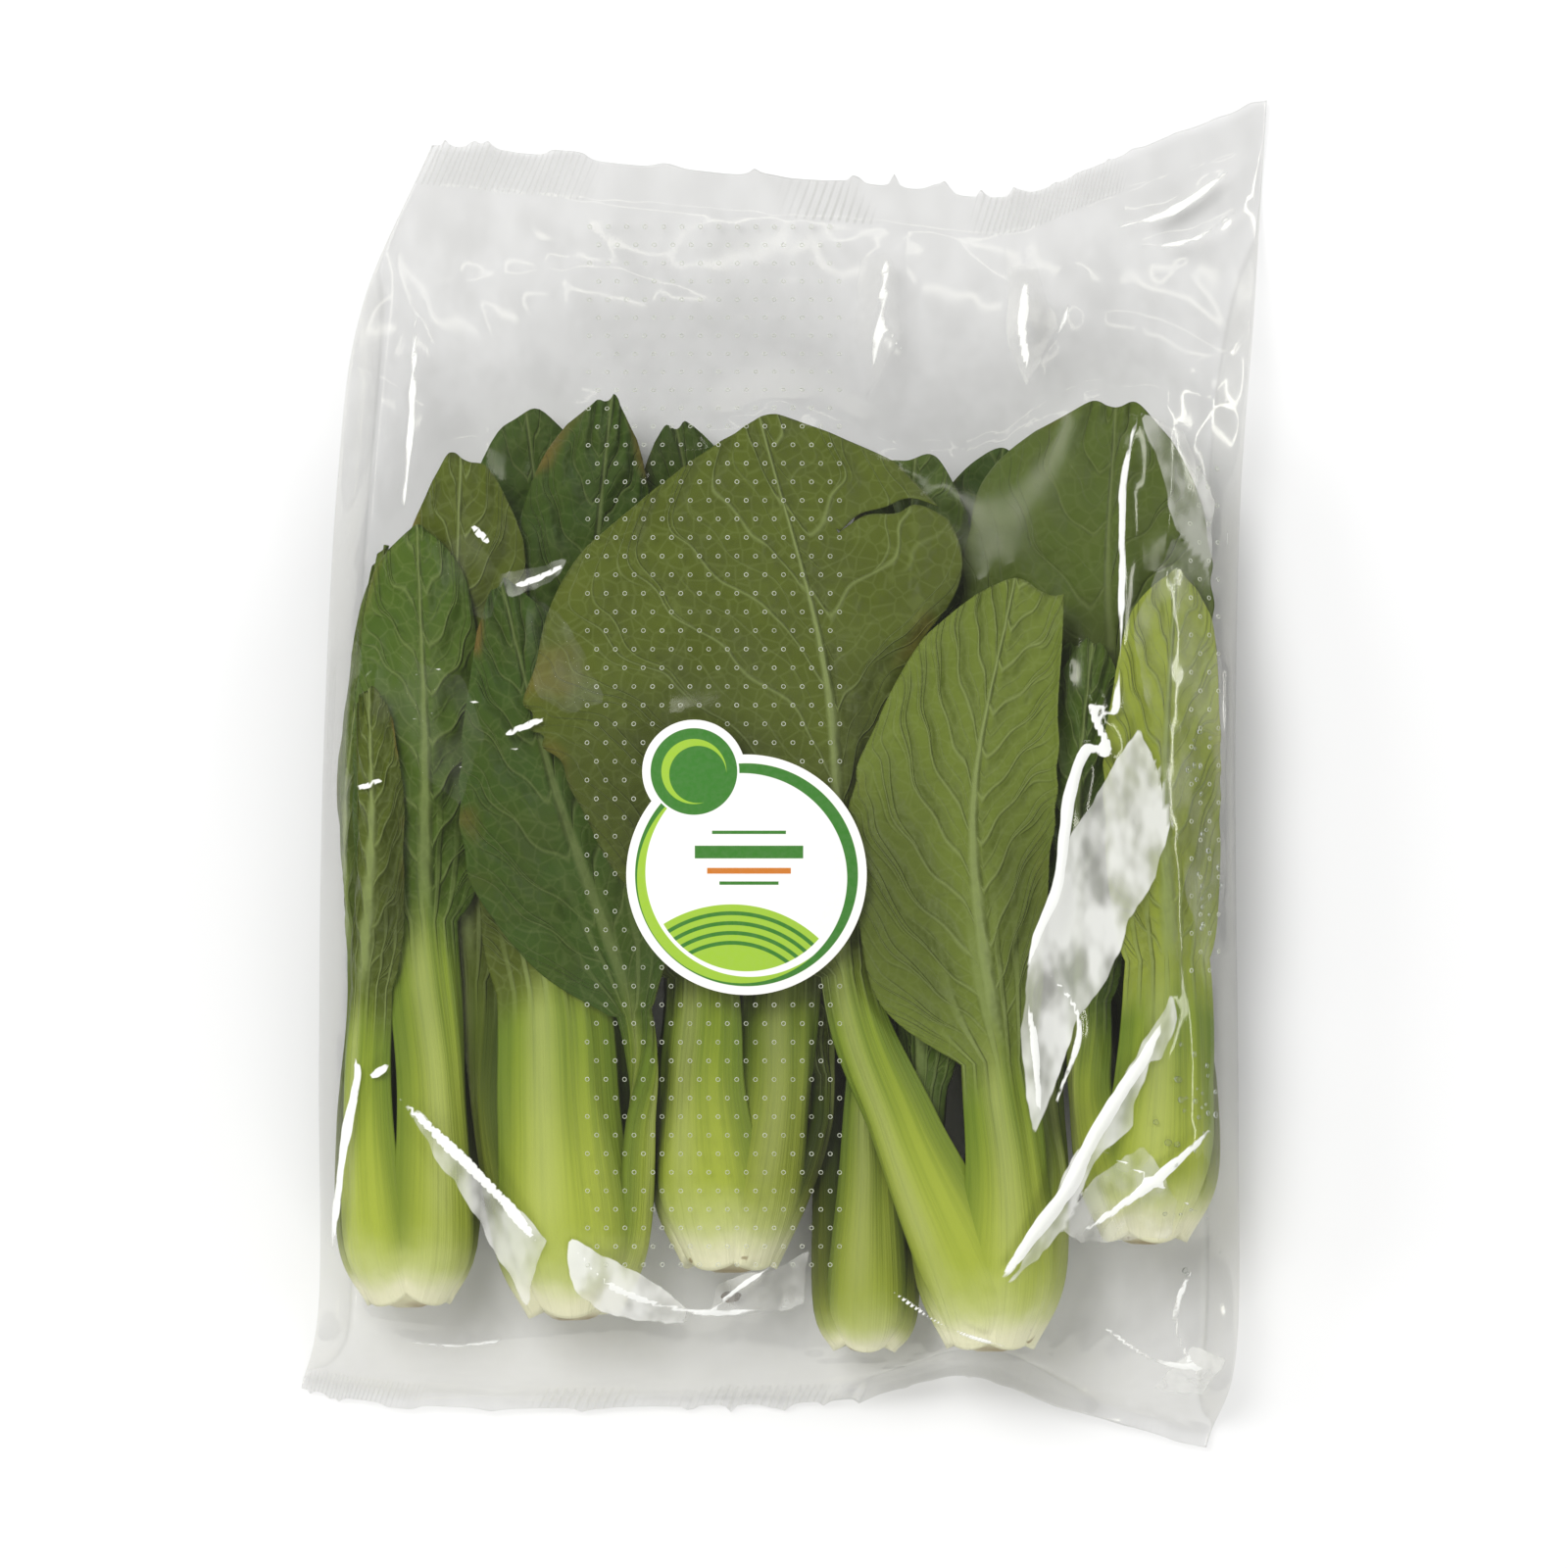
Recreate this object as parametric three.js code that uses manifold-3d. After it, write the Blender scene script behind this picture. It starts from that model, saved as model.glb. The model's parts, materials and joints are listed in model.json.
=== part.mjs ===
import * as THREE from "three";
import { mergeVertices } from "three/addons/utils/BufferGeometryUtils.js";
import Module from "manifold-3d";

// A clear sealed bag of six small bok choy heads, lying flat on its back, with a round paper label on top.
// Millimetres. +X is right, +Y runs from the cut stems to the leaf tips, +Z is up from the table.

const wasm = await Module();
wasm.setup();

// The bag: film, folded sides, end seals, lap seam and vent holes
const FILM = 0.6;
const FILM_GAP = 0.6;
const FILM_REACH = 0.8;
const SIDE_FOLD = { height: 15, roll: 9, power: 2.2 };
const SEAL = { lower: 0.02, upper: 0.95, wave: 1.1 };
const LIFTED_SEAL = { x: 39, spread: 22, height: 13 };
const LAP_SEAM = { x: 17, width: 9, rise: 0.5 };
const VENTS = { radius: 1.1, columns: 4, rows: 2, pitch: 9.2, x: -24, y: 101 };

// The paper label: a round with a small round tab
const LABEL = { x: -7.6, y: -20.4, radius: 24.4, thickness: 0.5, gap: 0.35, margin: 3 };
const LABEL_TAB = { radius: 10.5, reach: 23.5, angle: 117 };

// The leaves
const BED = FILM + 1.2;
const BLADE_THICKNESS = 0.8;
const STALK_EDGE = 1.7;
const OVAL = 2.5; // how full an oval blade is, 2 for an ellipse
const TIP_SHARE = 0.3; // of an oval blade's half width, left at its tip
const DIP = 0.04; // how far the margins fall behind at the tip, as a share of the leaf
const DIP_POWER = 4;
const STALK_RIB = [4.2, 6.4, 5.2, 4.4, 2.6, 1];
const LEAF_GAP = 0.7;
const LEAF_REACH = [4, 10];
const LEAF_SLOPE = 0.9;
const MARGIN_WAVE = 0.9;
const RIB_WIDTH = 3.4;
const COLLAR = 0.6;
const SLIVER = 0.03;

// How finely a leaf is divided: rows up the stalk, rows up the blade, columns to each side
const DETAIL = {
  hidden: { stalk: [0, 0.1, 0.22, 0.42, 0.6], blade: 4, sides: [0.5, 1], rib: false },
  plain: { stalk: [0, 0.07, 0.15, 0.26, 0.42, 0.6], blade: 5, sides: [0.55, 1], rib: true },
  fine: { stalk: [0, 0.07, 0.15, 0.26, 0.4, 0.52, 0.6], blade: 7, sides: [0.35, 0.68, 1], rib: true },
};

// Six heads. base is the cut end, height its axis above the bed, heading the way it grows in degrees.
// A leaf leaves its head at the angle around, 0 on top and positive to the right. stalk is its half width
// at the bulb and at the collar, blade the blade's, or its half widths from collar to tip on each side.
// face is the angle that its back has turned to at collar, middle and tip, curl how far the blade rolls.
// dip rounds a broad tip, and rightDip its right half where that differs.
// Leaves are stacked in the order of their layer.
const HEADS = [
  {
    name: "head_far_left",
    base: [-76.8, -108],
    radius: 13.2,
    height: 16.4,
    heading: 91,
    leaves: [
      {
        layer: 1, around: 175, stalk: [12, 7], blade: 14, curl: 8, face: [180, 180, 180],
        collar: [-75, -44, 5], middle: [-74, 4, 5], tip: [-74, 40, 6], detail: "hidden",
      },
      {
        layer: 2, around: -100, stalk: [9, 5], blade: 8, curl: 20, face: [-80, -66, -50],
        collar: [-87, -45, 13], middle: [-88.5, -2, 14], tip: [-81.5, 47, 14], detail: "plain",
      },
      {
        layer: 3, around: 105, stalk: [9, 5], blade: 8, curl: 16, face: [110, 140, 160],
        collar: [-67, -40, 12], middle: [-62, 2, 11], tip: [-60, 34, 12], detail: "hidden",
      },
      {
        layer: 8, around: 40, stalk: [11, 7.8], blade: 15, curl: 46, face: [16, 10, 0],
        collar: [-73.5, -31, 27], middle: [-73.5, 8, 27], tip: [-75, 51, 22], detail: "plain",
      },
      {
        layer: 9, around: -42, stalk: [9.4, 5.2], blade: 7, curl: 75, face: [-35, -25, -20],
        collar: [-85, -47, 25], middle: [-83.5, -12, 26], tip: [-84.5, 18, 24], detail: "plain",
      },
    ],
  },
  {
    name: "head_left",
    base: [-43, -110.4],
    radius: 14.8,
    height: 17.4,
    heading: 92,
    leaves: [
      {
        layer: 2, around: 178, stalk: [12, 8], curl: 10, face: [180, 180, 180], dip: 0.06,
        blade: { left: [8, 12, 15, 17, 17, 14, 8], right: [8, 12, 15, 16, 15, 13, 8] },
        collar: [-46, -40, 4], middle: [-48, 28, 5], tip: [-53, 75, 8], detail: "hidden",
      },
      {
        layer: 5, around: 145, stalk: [9, 6], curl: -12, face: [165, 185, 190], dip: 0.03,
        blade: { left: [6, 9, 12, 13, 12, 8, 2], right: [6, 10, 13, 15, 16, 12, 3] },
        collar: [-38, -40, 9], middle: [-39, 34, 12], tip: [-35.4, 78, 16], detail: "plain",
      },
      {
        layer: 6, around: -80, stalk: [10, 6], curl: 26, face: [-40, -14, -6], dip: 0.06,
        blade: { left: [7, 12, 14, 14, 13, 11, 6], right: [7, 13, 15, 16, 15, 13, 8] },
        collar: [-63, -42, 17], middle: [-67, 14, 18], tip: [-66, 66, 19], detail: "plain",
      },
      {
        layer: 10, around: 82, stalk: [8, 5.5], curl: -10, face: [130, 182, 180],
        blade: { left: [7, 17, 20, 20, 17, 11, 3], right: [7, 18, 22, 20, 15, 9, 3] },
        collar: [-30, -48, 22], middle: [-47, -2, 27], tip: [-58, 40, 27], detail: "fine",
      },
      {
        layer: 9, around: -4, stalk: [15, 11.8], curl: 34, face: [-4, -6, -4],
        blade: { left: [12, 13, 12, 11, 9, 6, 3], right: [12, 13, 13, 12, 10, 7, 3] },
        collar: [-47.5, -43, 30], middle: [-54, -12, 29], tip: [-61, 20, 25], detail: "plain",
      },
    ],
  },
  {
    name: "head_middle",
    base: [-11, -100.6],
    radius: 15.2,
    height: 18.6,
    heading: 90,
    leaves: [
      {
        layer: 2, around: 180, stalk: [12, 8], blade: 14, curl: 10, face: [180, 180, 176],
        collar: [-11, -46, 4], middle: [-13, 20, 4], tip: [-22.4, 73, 7], detail: "hidden",
      },
      {
        layer: 4, around: -112, stalk: [10, 5], blade: 8, curl: 14, face: [-120, -150, -170],
        collar: [-22, -46, 12], middle: [-24, -4, 11], tip: [-25, 28, 11], detail: "hidden",
      },
      {
        layer: 4, around: 88, stalk: [5.5, 3], blade: 7, curl: 20, face: [84, 110, 130],
        collar: [8, -62, 23], middle: [8, -20, 18], tip: [8, 14, 14], detail: "plain",
      },
      {
        layer: 7, around: 34, stalk: [10.5, 8.5], blade: 15, curl: 24, face: [14, 0, 0],
        collar: [0, -42, 29], middle: [3, 0, 26], tip: [6, 42, 20], detail: "plain",
      },
      {
        layer: 8, around: -26, stalk: [13, 7.8], blade: 17, curl: 24, face: [-12, -4, 0],
        collar: [-17, -42, 30], middle: [-20, 4, 27], tip: [-24, 48, 20], detail: "plain",
      },
    ],
  },
  {
    name: "head_behind",
    base: [16.4, -117.6],
    radius: 9,
    height: 12.2,
    heading: 88,
    leaves: [
      {
        layer: 1, around: 174, stalk: [8, 6], blade: 12, curl: 6, face: [180, 180, 180],
        collar: [17, -60, 3.6], middle: [17, 0, 3.6], tip: [16, 46, 4], detail: "hidden",
      },
      {
        layer: 3, around: 84, stalk: [6.5, 4], curl: 8, face: [120, 172, 180], dip: 0.05,
        blade: { left: [4, 8, 11, 13, 13, 12, 8], right: [4, 8, 11, 13, 13, 12, 8] },
        collar: [23, -56, 9], middle: [35, 14, 6], tip: [45, 67, 9], detail: "plain",
      },
      {
        layer: 3, around: -75, stalk: [6.2, 4], blade: 7, curl: 12, face: [-100, -140, -160],
        collar: [10, -62, 9], middle: [7, -20, 8], tip: [4, 14, 8], detail: "hidden",
      },
      {
        layer: 5, around: 3, stalk: [8.8, 5], curl: 22, face: [-4, 0, 0], dip: 0.05,
        blade: { left: [5, 9, 12, 13, 13, 12, 8], right: [5, 9, 13, 14, 14, 13, 9] },
        collar: [18, -57, 14], middle: [23, 18, 12], tip: [27, 66, 14], detail: "plain",
      },
    ],
  },
  {
    name: "head_centre",
    base: [42.3, -116.8],
    radius: 14.2,
    height: 19.4,
    heading: 90,
    leaves: [
      {
        layer: 2, around: 172, stalk: [11, 7], blade: 12, curl: 8, face: [180, 180, 180],
        collar: [46, -62, 4], middle: [47, -14, 4], tip: [49, 30, 5], detail: "hidden",
      },
      {
        layer: 6, around: -84, stalk: [7, 5], blade: 8, curl: 24, face: [-50, -25, -15],
        collar: [29, -66, 14], middle: [28, -30, 11], tip: [27, -4, 10], detail: "hidden",
      },
      {
        layer: 7, around: 74, stalk: [10, 6], blade: 10, curl: 30, face: [50, 20, 10],
        collar: [54, -62, 19], middle: [57, -18, 17], tip: [60, 28, 17], detail: "plain",
      },
      {
        layer: 11, around: -32, stalk: [13.5, 5.4], curl: 16, face: [-6, -2, 0], dip: 0.05,
        blade: { left: [6, 44, 55, 60, 60, 47, 14], right: [6, 7, 9, 15, 33, 26, 12] },
        collar: [12.6, -40, 34], middle: [9, 18, 33], tip: [-5, 73, 25], detail: "fine",
      },
      {
        layer: 12, around: 26, stalk: [12.5, 7.6], curl: 22, face: [8, 2, 2], dip: 0.06, rightDip: 0,
        blade: { left: [8, 23, 25, 25, 22, 16, 8], right: [8, 12, 15, 17, 16, 13.4, 10.5] },
        collar: [43.6, -58, 35], middle: [38.4, -8, 36], tip: [47, 40, 31], detail: "fine",
      },
    ],
  },
  {
    name: "head_right",
    base: [73.8, -95],
    radius: 13.6,
    height: 17,
    heading: 89,
    leaves: [
      {
        layer: 1, around: -150, stalk: [10, 6], blade: 13, curl: 8, face: [-178, -180, -180],
        collar: [68, -46, 4], middle: [67, 2, 4], tip: [66, 44, 5], detail: "hidden",
      },
      {
        layer: 3, around: 86, stalk: [9, 5.5], blade: 8, curl: 24, face: [75, 66, 55],
        collar: [83.5, -44, 14], middle: [84, 8, 14], tip: [82, 60, 15], detail: "plain",
      },
      {
        layer: 6, around: 160, stalk: [11, 7], curl: -14, face: [180, 180, 184], dip: 0.03,
        blade: { left: [7, 15, 20, 22, 21, 16, 7], right: [7, 19, 27, 31, 29, 23, 8] },
        collar: [75, -46, 8], middle: [66.5, 30, 17], tip: [68, 77, 17], detail: "fine",
      },
      {
        layer: 8, around: -58, stalk: [9.5, 5.5], blade: 9, curl: 26, face: [-30, -8, 0],
        collar: [61.5, -48, 20], middle: [60, -8, 18], tip: [63, 28, 17], detail: "plain",
      },
      {
        layer: 9, around: 16, stalk: [13, 9.5], blade: 12.5, curl: 30, face: [8, 6, 8],
        collar: [78.5, -42, 29], middle: [77.5, 0, 28], tip: [80, 42, 24], detail: "fine",
      },
    ],
  },
];

// The bag's flat outline, each edge from its left or lower end
const EDGE_BOTTOM = [
  [-99.5, -126.5], [-82, -129.5], [-56, -130.5], [-18, -130],
  [14, -128.6], [37, -123.5], [58, -130.5], [87, -138.5],
];
const EDGE_TOP = [
  [-72.5, 129.6], [-48, 127.4], [-20, 124.4], [16, 121.8],
  [46, 119], [66, 126], [82, 132.4], [99.5, 138.5],
];
const EDGE_LEFT = [
  [-99.5, -126.5], [-95.4, -108], [-95.4, -60], [-94.6, 0], [-91.6, 60], [-86.5, 97], [-72.5, 129.6],
];
const EDGE_RIGHT = [
  [87, -138.5], [92.8, -118], [93.2, -72], [92.6, 0], [93.6, 56], [97, 100], [99.5, 138.5],
];
const BAG_COLUMNS = 21;
const BAG_END_ROWS = [0, 0.02, 0.032, 0.046, 0.062, 0.082, 0.106, 0.136];
const BAG_ROWS = 26;

const RAD = Math.PI / 180;
const clamp = (v, low, high) => Math.min(Math.max(v, low), high);
const mix = (a, b, f) => a + (b - a) * f;

function ease(low, high, v) {
  const f = clamp((v - low) / (high - low), 0, 1);
  return f * f * (3 - 2 * f);
}

// A smooth line through evenly spaced values, read at t from 0 to 1.
function through(values, t) {
  const last = values.length - 1;
  const place = clamp(t, 0, 1) * last;
  const i = Math.min(Math.floor(place), last - 1);
  const f = place - i;
  const a = i > 0 ? values[i - 1] : 2 * values[0] - values[1];
  const b = values[i];
  const c = values[i + 1];
  const d = i + 2 <= last ? values[i + 2] : 2 * values[last] - values[last - 1];
  return b + 0.5 * f * (c - a + f * (2 * a - 5 * b + 4 * c - d + f * (3 * (b - c) + d - a)));
}

const throughPoints = (points, t) => points[0].map((_, k) => through(points.map((p) => p[k]), t));

// The line up the middle of a leaf: two points on the bulb, one on the stalk, then the leaf's own three.
function spineOf(head, leaf) {
  const along = new THREE.Vector3(Math.cos(head.heading * RAD), Math.sin(head.heading * RAD), 0);
  const side = new THREE.Vector3(along.y, -along.x, 0);
  const out = new THREE.Vector3(0, 0, Math.cos(leaf.around * RAD));
  out.addScaledVector(side, Math.sin(leaf.around * RAD));
  const base = new THREE.Vector3(...head.base, head.height);
  const at = (reach, rise) =>
    base.clone().addScaledVector(out, reach * head.radius).addScaledVector(along, rise * head.radius);
  const bulb = at(0.86, 0.95);
  const halfway = bulb.clone().lerp(new THREE.Vector3(...leaf.collar), 0.5);
  const waist = halfway.addScaledVector(out, 0.1 * head.radius);
  const onBulb = [at(0.5, 0), bulb, waist].map((p) => p.toArray());
  const points = [...onBulb, leaf.collar, leaf.middle, leaf.tip];
  return { along, points: points.map(([x, y, z]) => [x, y, z + BED]) };
}

// How far the blade reaches to one side at f, from 0 at the collar to 1 at the tip. A single width makes
// an oval with a blunt tip.
function bladeHalf(leaf, sign, f) {
  if (typeof leaf.blade !== "number") return through(sign < 0 ? leaf.blade.left : leaf.blade.right, f);
  const round = Math.max(0, 1 - Math.abs(2 * f ** 0.8 - 1) ** OVAL) ** (1 / OVAL);
  return Math.max(leaf.blade * round, mix(leaf.stalk[1], TIP_SHARE * leaf.blade, f));
}

function halfWidth(head, leaf, sign, t) {
  const [bulb, neck] = leaf.stalk;
  if (t <= COLLAR) return through([0.55 * head.radius, bulb, mix(bulb, neck, 0.62), neck], t / COLLAR);
  return bladeHalf(leaf, sign, (t - COLLAR) / (1 - COLLAR));
}

// A point in the row along the leaf, and q from its middle line (0) to the margin (1) on the side of sign.
// face is 1 on the leaf's back and -1 on its inside.
function leafPoint(head, leaf, spine, row, sign, q, face) {
  const dip = leaf.dip ?? DIP;
  const t = row - (sign > 0 ? leaf.rightDip ?? dip : dip) * q ** DIP_POWER * ease(0.7, 1, row);
  const step = 0.01;
  const centre = new THREE.Vector3(...throughPoints(spine.points, t));
  const ahead = new THREE.Vector3(...throughPoints(spine.points, Math.min(t + step, 1)));
  const behind = new THREE.Vector3(...throughPoints(spine.points, Math.max(t - step, 0)));
  const tangent = ahead.sub(behind).normalize();
  const level = new THREE.Vector3(tangent.x, tangent.y, 0).normalize();
  const way = spine.along.clone().lerp(level, ease(0.15, 0.5, t)).normalize();
  const turn = through([leaf.around, leaf.around, leaf.around, ...leaf.face], t) * RAD;
  const across = new THREE.Vector3(way.y * Math.cos(turn), -way.x * Math.cos(turn), -Math.sin(turn));
  const back = across.clone().cross(tangent).normalize();

  const half = halfWidth(head, leaf, sign, t);
  const bend = through([1.1, leaf.stalk[0] / head.radius, 0.62, 0.5, leaf.curl * RAD, leaf.curl * RAD], t);
  const angle = bend * q;
  const straight = Math.abs(bend) < 1e-3;
  const run = straight ? q : Math.sin(angle) / bend;
  const drop = straight ? 0 : (1 - Math.cos(angle)) / bend;

  const blade = ease(0.5, 0.66, t);
  const edge = mix(STALK_EDGE, BLADE_THICKNESS, ease(0.45, 0.66, t));
  const profile = mix(1 - q * q, Math.exp(-(((q * half) / RIB_WIDTH) ** 2)), blade);
  const thick = edge + Math.max(through(STALK_RIB, t) - edge, 0) * profile;
  const wave = MARGIN_WAVE * blade * q * q * Math.sin(11 * t + 1.7 * leaf.around + sign);

  return centre
    .addScaledVector(across, sign * (half * run + 0.5 * face * thick * Math.sin(angle)))
    .addScaledVector(back, wave - half * drop + 0.5 * face * thick * Math.cos(angle));
}

// A leaf as rows from base to tip, each with pairs of points, back and inside, from margin to margin.
function leafGrid(head, leaf) {
  const spine = spineOf(head, leaf);
  const detail = DETAIL[leaf.detail];
  const rows = [...detail.stalk];
  for (let k = 1; k <= detail.blade; k++) {
    rows.push(COLLAR + (1 - COLLAR) * 0.5 * (1 - Math.cos((Math.PI * k) / detail.blade)));
  }
  return rows.map((t) => {
    const pair = (sign, q) => [1, -1].map((face) => leafPoint(head, leaf, spine, t, sign, q, face));
    const places = (sign) => {
      const rib = clamp(RIB_WIDTH / halfWidth(head, leaf, sign, t), 0.06, 0.3);
      return detail.rib ? [rib, ...detail.sides.map((s) => mix(rib, 1, s))] : detail.sides;
    };
    const left = places(-1).toReversed().map((q) => pair(-1, q));
    const right = places(1).map((q) => pair(1, q));
    return { t, pairs: [...left, pair(1, 0), ...right] };
  });
}

// Height maps: one number for each square of the table
const CELL = 2;
const MAP = { x: -104, y: -144, columns: 104, rows: 144 };
const newMap = (value) => new Float32Array(MAP.columns * MAP.rows).fill(value);

// Marks the triangle's height in each square that it covers, kept by pick where it is Math.max or Math.min.
function mark(map, pick, a, b, c) {
  const area = (b.x - a.x) * (c.y - a.y) - (c.x - a.x) * (b.y - a.y);
  if (Math.abs(area) < 1e-6) return;
  const from = (k, start) => Math.max(0, Math.floor((Math.min(a[k], b[k], c[k]) - start) / CELL));
  const upTo = (k, start, count) =>
    Math.min(count - 1, Math.floor((Math.max(a[k], b[k], c[k]) - start) / CELL));
  const low = Math.min(a.z, b.z, c.z);
  const high = Math.max(a.z, b.z, c.z);
  for (let j = from("y", MAP.y); j <= upTo("y", MAP.y, MAP.rows); j++) {
    for (let i = from("x", MAP.x); i <= upTo("x", MAP.x, MAP.columns); i++) {
      const x = MAP.x + CELL * (i + 0.5);
      const y = MAP.y + CELL * (j + 0.5);
      const v = ((x - a.x) * (c.y - a.y) - (c.x - a.x) * (y - a.y)) / area;
      const w = ((b.x - a.x) * (y - a.y) - (x - a.x) * (b.y - a.y)) / area;
      if (v < -0.3 || w < -0.3 || v + w > 1.3) continue;
      const z = clamp(a.z + v * (b.z - a.z) + w * (c.z - a.z), low, high);
      const k = j * MAP.columns + i;
      map[k] = pick(map[k], z);
    }
  }
}

// The highest or lowest height in some maps around a point.
function nearby(maps, pick, start, x, y, reachX, reachY) {
  let best = start;
  const i0 = Math.max(0, Math.floor((x - reachX - MAP.x) / CELL));
  const i1 = Math.min(MAP.columns - 1, Math.floor((x + reachX - MAP.x) / CELL));
  const j0 = Math.max(0, Math.floor((y - reachY - MAP.y) / CELL));
  const j1 = Math.min(MAP.rows - 1, Math.floor((y + reachY - MAP.y) / CELL));
  for (const map of maps) {
    for (let j = j0; j <= j1; j++) {
      for (let i = i0; i <= i1; i++) best = pick(best, map[j * MAP.columns + i]);
    }
  }
  return best;
}

const stack = [];
const topMap = newMap(-1);
const lowMap = newMap(99);

// Lifts a leaf's blade smoothly clear of what lies under it, and adds the leaf to the stack.
function layDown(entry) {
  const below = stack.flatMap((other) =>
    other.head === entry.head ? [other.bladeMap] : [other.bladeMap, other.stalkMap],
  );
  const need = entry.grid.map(({ t, pairs }, i) =>
    pairs.map(([back, inside], j) => {
      const p = back.z < inside.z ? back : inside;
      const near = [entry.grid[i - 1]?.pairs[j], entry.grid[i + 1]?.pairs[j], pairs[j - 1], pairs[j + 1]];
      const apart = Math.max(...near.filter(Boolean).map(([q]) => Math.hypot(q.x - p.x, q.y - p.y)));
      const reach = clamp(0.6 * apart, ...LEAF_REACH);
      const room = nearby(below, Math.max, -1, p.x, p.y, reach, reach) + LEAF_GAP - p.z;
      return ease(0.28, 0.5, t) * Math.max(0, room);
    }),
  );
  let lift = need;
  for (let pass = 0; pass < 8; pass++) {
    const last = lift;
    lift = last.map((row, i) =>
      row.map((own, j) => {
        const p = entry.grid[i].pairs[j][0];
        const beside = [[i - 1, j], [i + 1, j], [i, j - 1], [i, j + 1]];
        const places = beside.filter(([m, n]) => last[m]?.[n] !== undefined);
        const near = places.map(([m, n]) => last[m][n]);
        const held = places.map(([m, n], k) => {
          const q = entry.grid[m].pairs[n][0];
          return near[k] - LEAF_SLOPE * Math.hypot(q.x - p.x, q.y - p.y);
        });
        const mean = near.reduce((sum, v) => sum + v, own) / (near.length + 1);
        const drawn = Math.max(need[i][j], ...held, mean);
        return Math.max(need[i][j], ease(0.14, 0.36, entry.grid[i].t) * drawn);
      }),
    );
  }
  entry.grid.forEach(({ pairs }, i) =>
    pairs.forEach((pair, j) => {
      for (const p of pair) p.z += lift[i][j];
    }),
  );

  entry.bladeMap = newMap(-1);
  entry.stalkMap = newMap(-1);
  for (let i = 0; i + 1 < entry.grid.length; i++) {
    const own = entry.grid[i].t >= COLLAR - 0.1 ? entry.bladeMap : entry.stalkMap;
    for (let j = 0; j + 1 < entry.grid[i].pairs.length; j++) {
      for (const face of [0, 1]) {
        const [a, b] = [entry.grid[i].pairs[j][face], entry.grid[i].pairs[j + 1][face]];
        const [c, d] = [entry.grid[i + 1].pairs[j + 1][face], entry.grid[i + 1].pairs[j][face]];
        for (const corners of [[a, b, c], [a, c, d]]) {
          mark(own, Math.max, ...corners);
          mark(topMap, Math.max, ...corners);
          mark(lowMap, Math.min, ...corners);
        }
      }
    }
  }
  stack.push(entry);
}

function solidOf(geometry) {
  const bare = geometry.clone();
  bare.deleteAttribute("normal");
  bare.deleteAttribute("uv");
  const merged = mergeVertices(bare, 1e-4);
  const vertProperties = new Float32Array(merged.attributes.position.array);
  const triVerts = new Uint32Array(merged.index.array);
  return new wasm.Manifold(new wasm.Mesh({ numProp: 3, vertProperties, triVerts }));
}

function geometryOf(solid) {
  const mesh = solid.getMesh();
  const geometry = new THREE.BufferGeometry();
  geometry.setAttribute("position", new THREE.BufferAttribute(new Float32Array(mesh.vertProperties), 3));
  geometry.setIndex(new THREE.BufferAttribute(new Uint32Array(mesh.triVerts), 1));
  geometry.computeVertexNormals();
  return geometry;
}

// A slab between two sheets of points, cut along the same diagonals on both faces and closed at the edge.
function slab(upper, lower) {
  const rows = upper.length;
  const columns = upper[0].length;
  const positions = [...upper.flat(), ...lower.flat()].flatMap((p) => [p.x, p.y, p.z]);
  const at = (sheet, i, j) => (sheet * rows + i) * columns + j;
  const indices = [];
  const quad = (a, b, c, d) => indices.push(a, b, c, a, c, d);
  for (let i = 0; i + 1 < rows; i++) {
    for (let j = 0; j + 1 < columns; j++) {
      quad(at(0, i, j), at(0, i, j + 1), at(0, i + 1, j + 1), at(0, i + 1, j));
      indices.push(at(1, i, j), at(1, i + 1, j + 1), at(1, i, j + 1));
      indices.push(at(1, i, j), at(1, i + 1, j), at(1, i + 1, j + 1));
    }
  }
  for (let j = 0; j + 1 < columns; j++) {
    quad(at(0, 0, j), at(1, 0, j), at(1, 0, j + 1), at(0, 0, j + 1));
    quad(at(0, rows - 1, j + 1), at(1, rows - 1, j + 1), at(1, rows - 1, j), at(0, rows - 1, j));
  }
  const end = columns - 1;
  for (let i = 0; i + 1 < rows; i++) {
    quad(at(0, i + 1, 0), at(1, i + 1, 0), at(1, i, 0), at(0, i, 0));
    quad(at(0, i, end), at(1, i, end), at(1, i + 1, end), at(0, i + 1, end));
  }
  const geometry = new THREE.BufferGeometry();
  geometry.setAttribute("position", new THREE.Float32BufferAttribute(positions, 3));
  geometry.setIndex(indices);
  return solidOf(geometry);
}

// The short stem that a head's stalks grow from, with its cut end.
function stem(head) {
  const profile = [[0, -0.16], [0.4, -0.16], [0.5, 0.02], [0.62, 0.45], [0.42, 0.9], [0, 1.2]];
  const outline = profile.map(([x, y]) => new THREE.Vector2(x * head.radius, y * head.radius));
  const geometry = new THREE.LatheGeometry(outline, 10);
  geometry.rotateZ((head.heading - 90) * RAD);
  geometry.translate(...head.base, head.height + BED);
  return solidOf(geometry);
}

// The main body of a joined solid, without its slivers and with its sealed hollows filled.
function mainBody(solid) {
  const bodies = solid.simplify(SLIVER).decompose();
  return bodies.reduce((best, body) => (body.volume() > best.volume() ? body : best));
}

function headSolid(head) {
  const leaves = stack.filter((entry) => entry.head === head).map(({ grid }) => {
    const sheet = (face) => grid.map(({ pairs }) => pairs.map((pair) => pair[face]));
    return slab(sheet(0), sheet(1));
  });
  return mainBody(wasm.Manifold.union([stem(head), ...leaves]));
}

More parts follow.
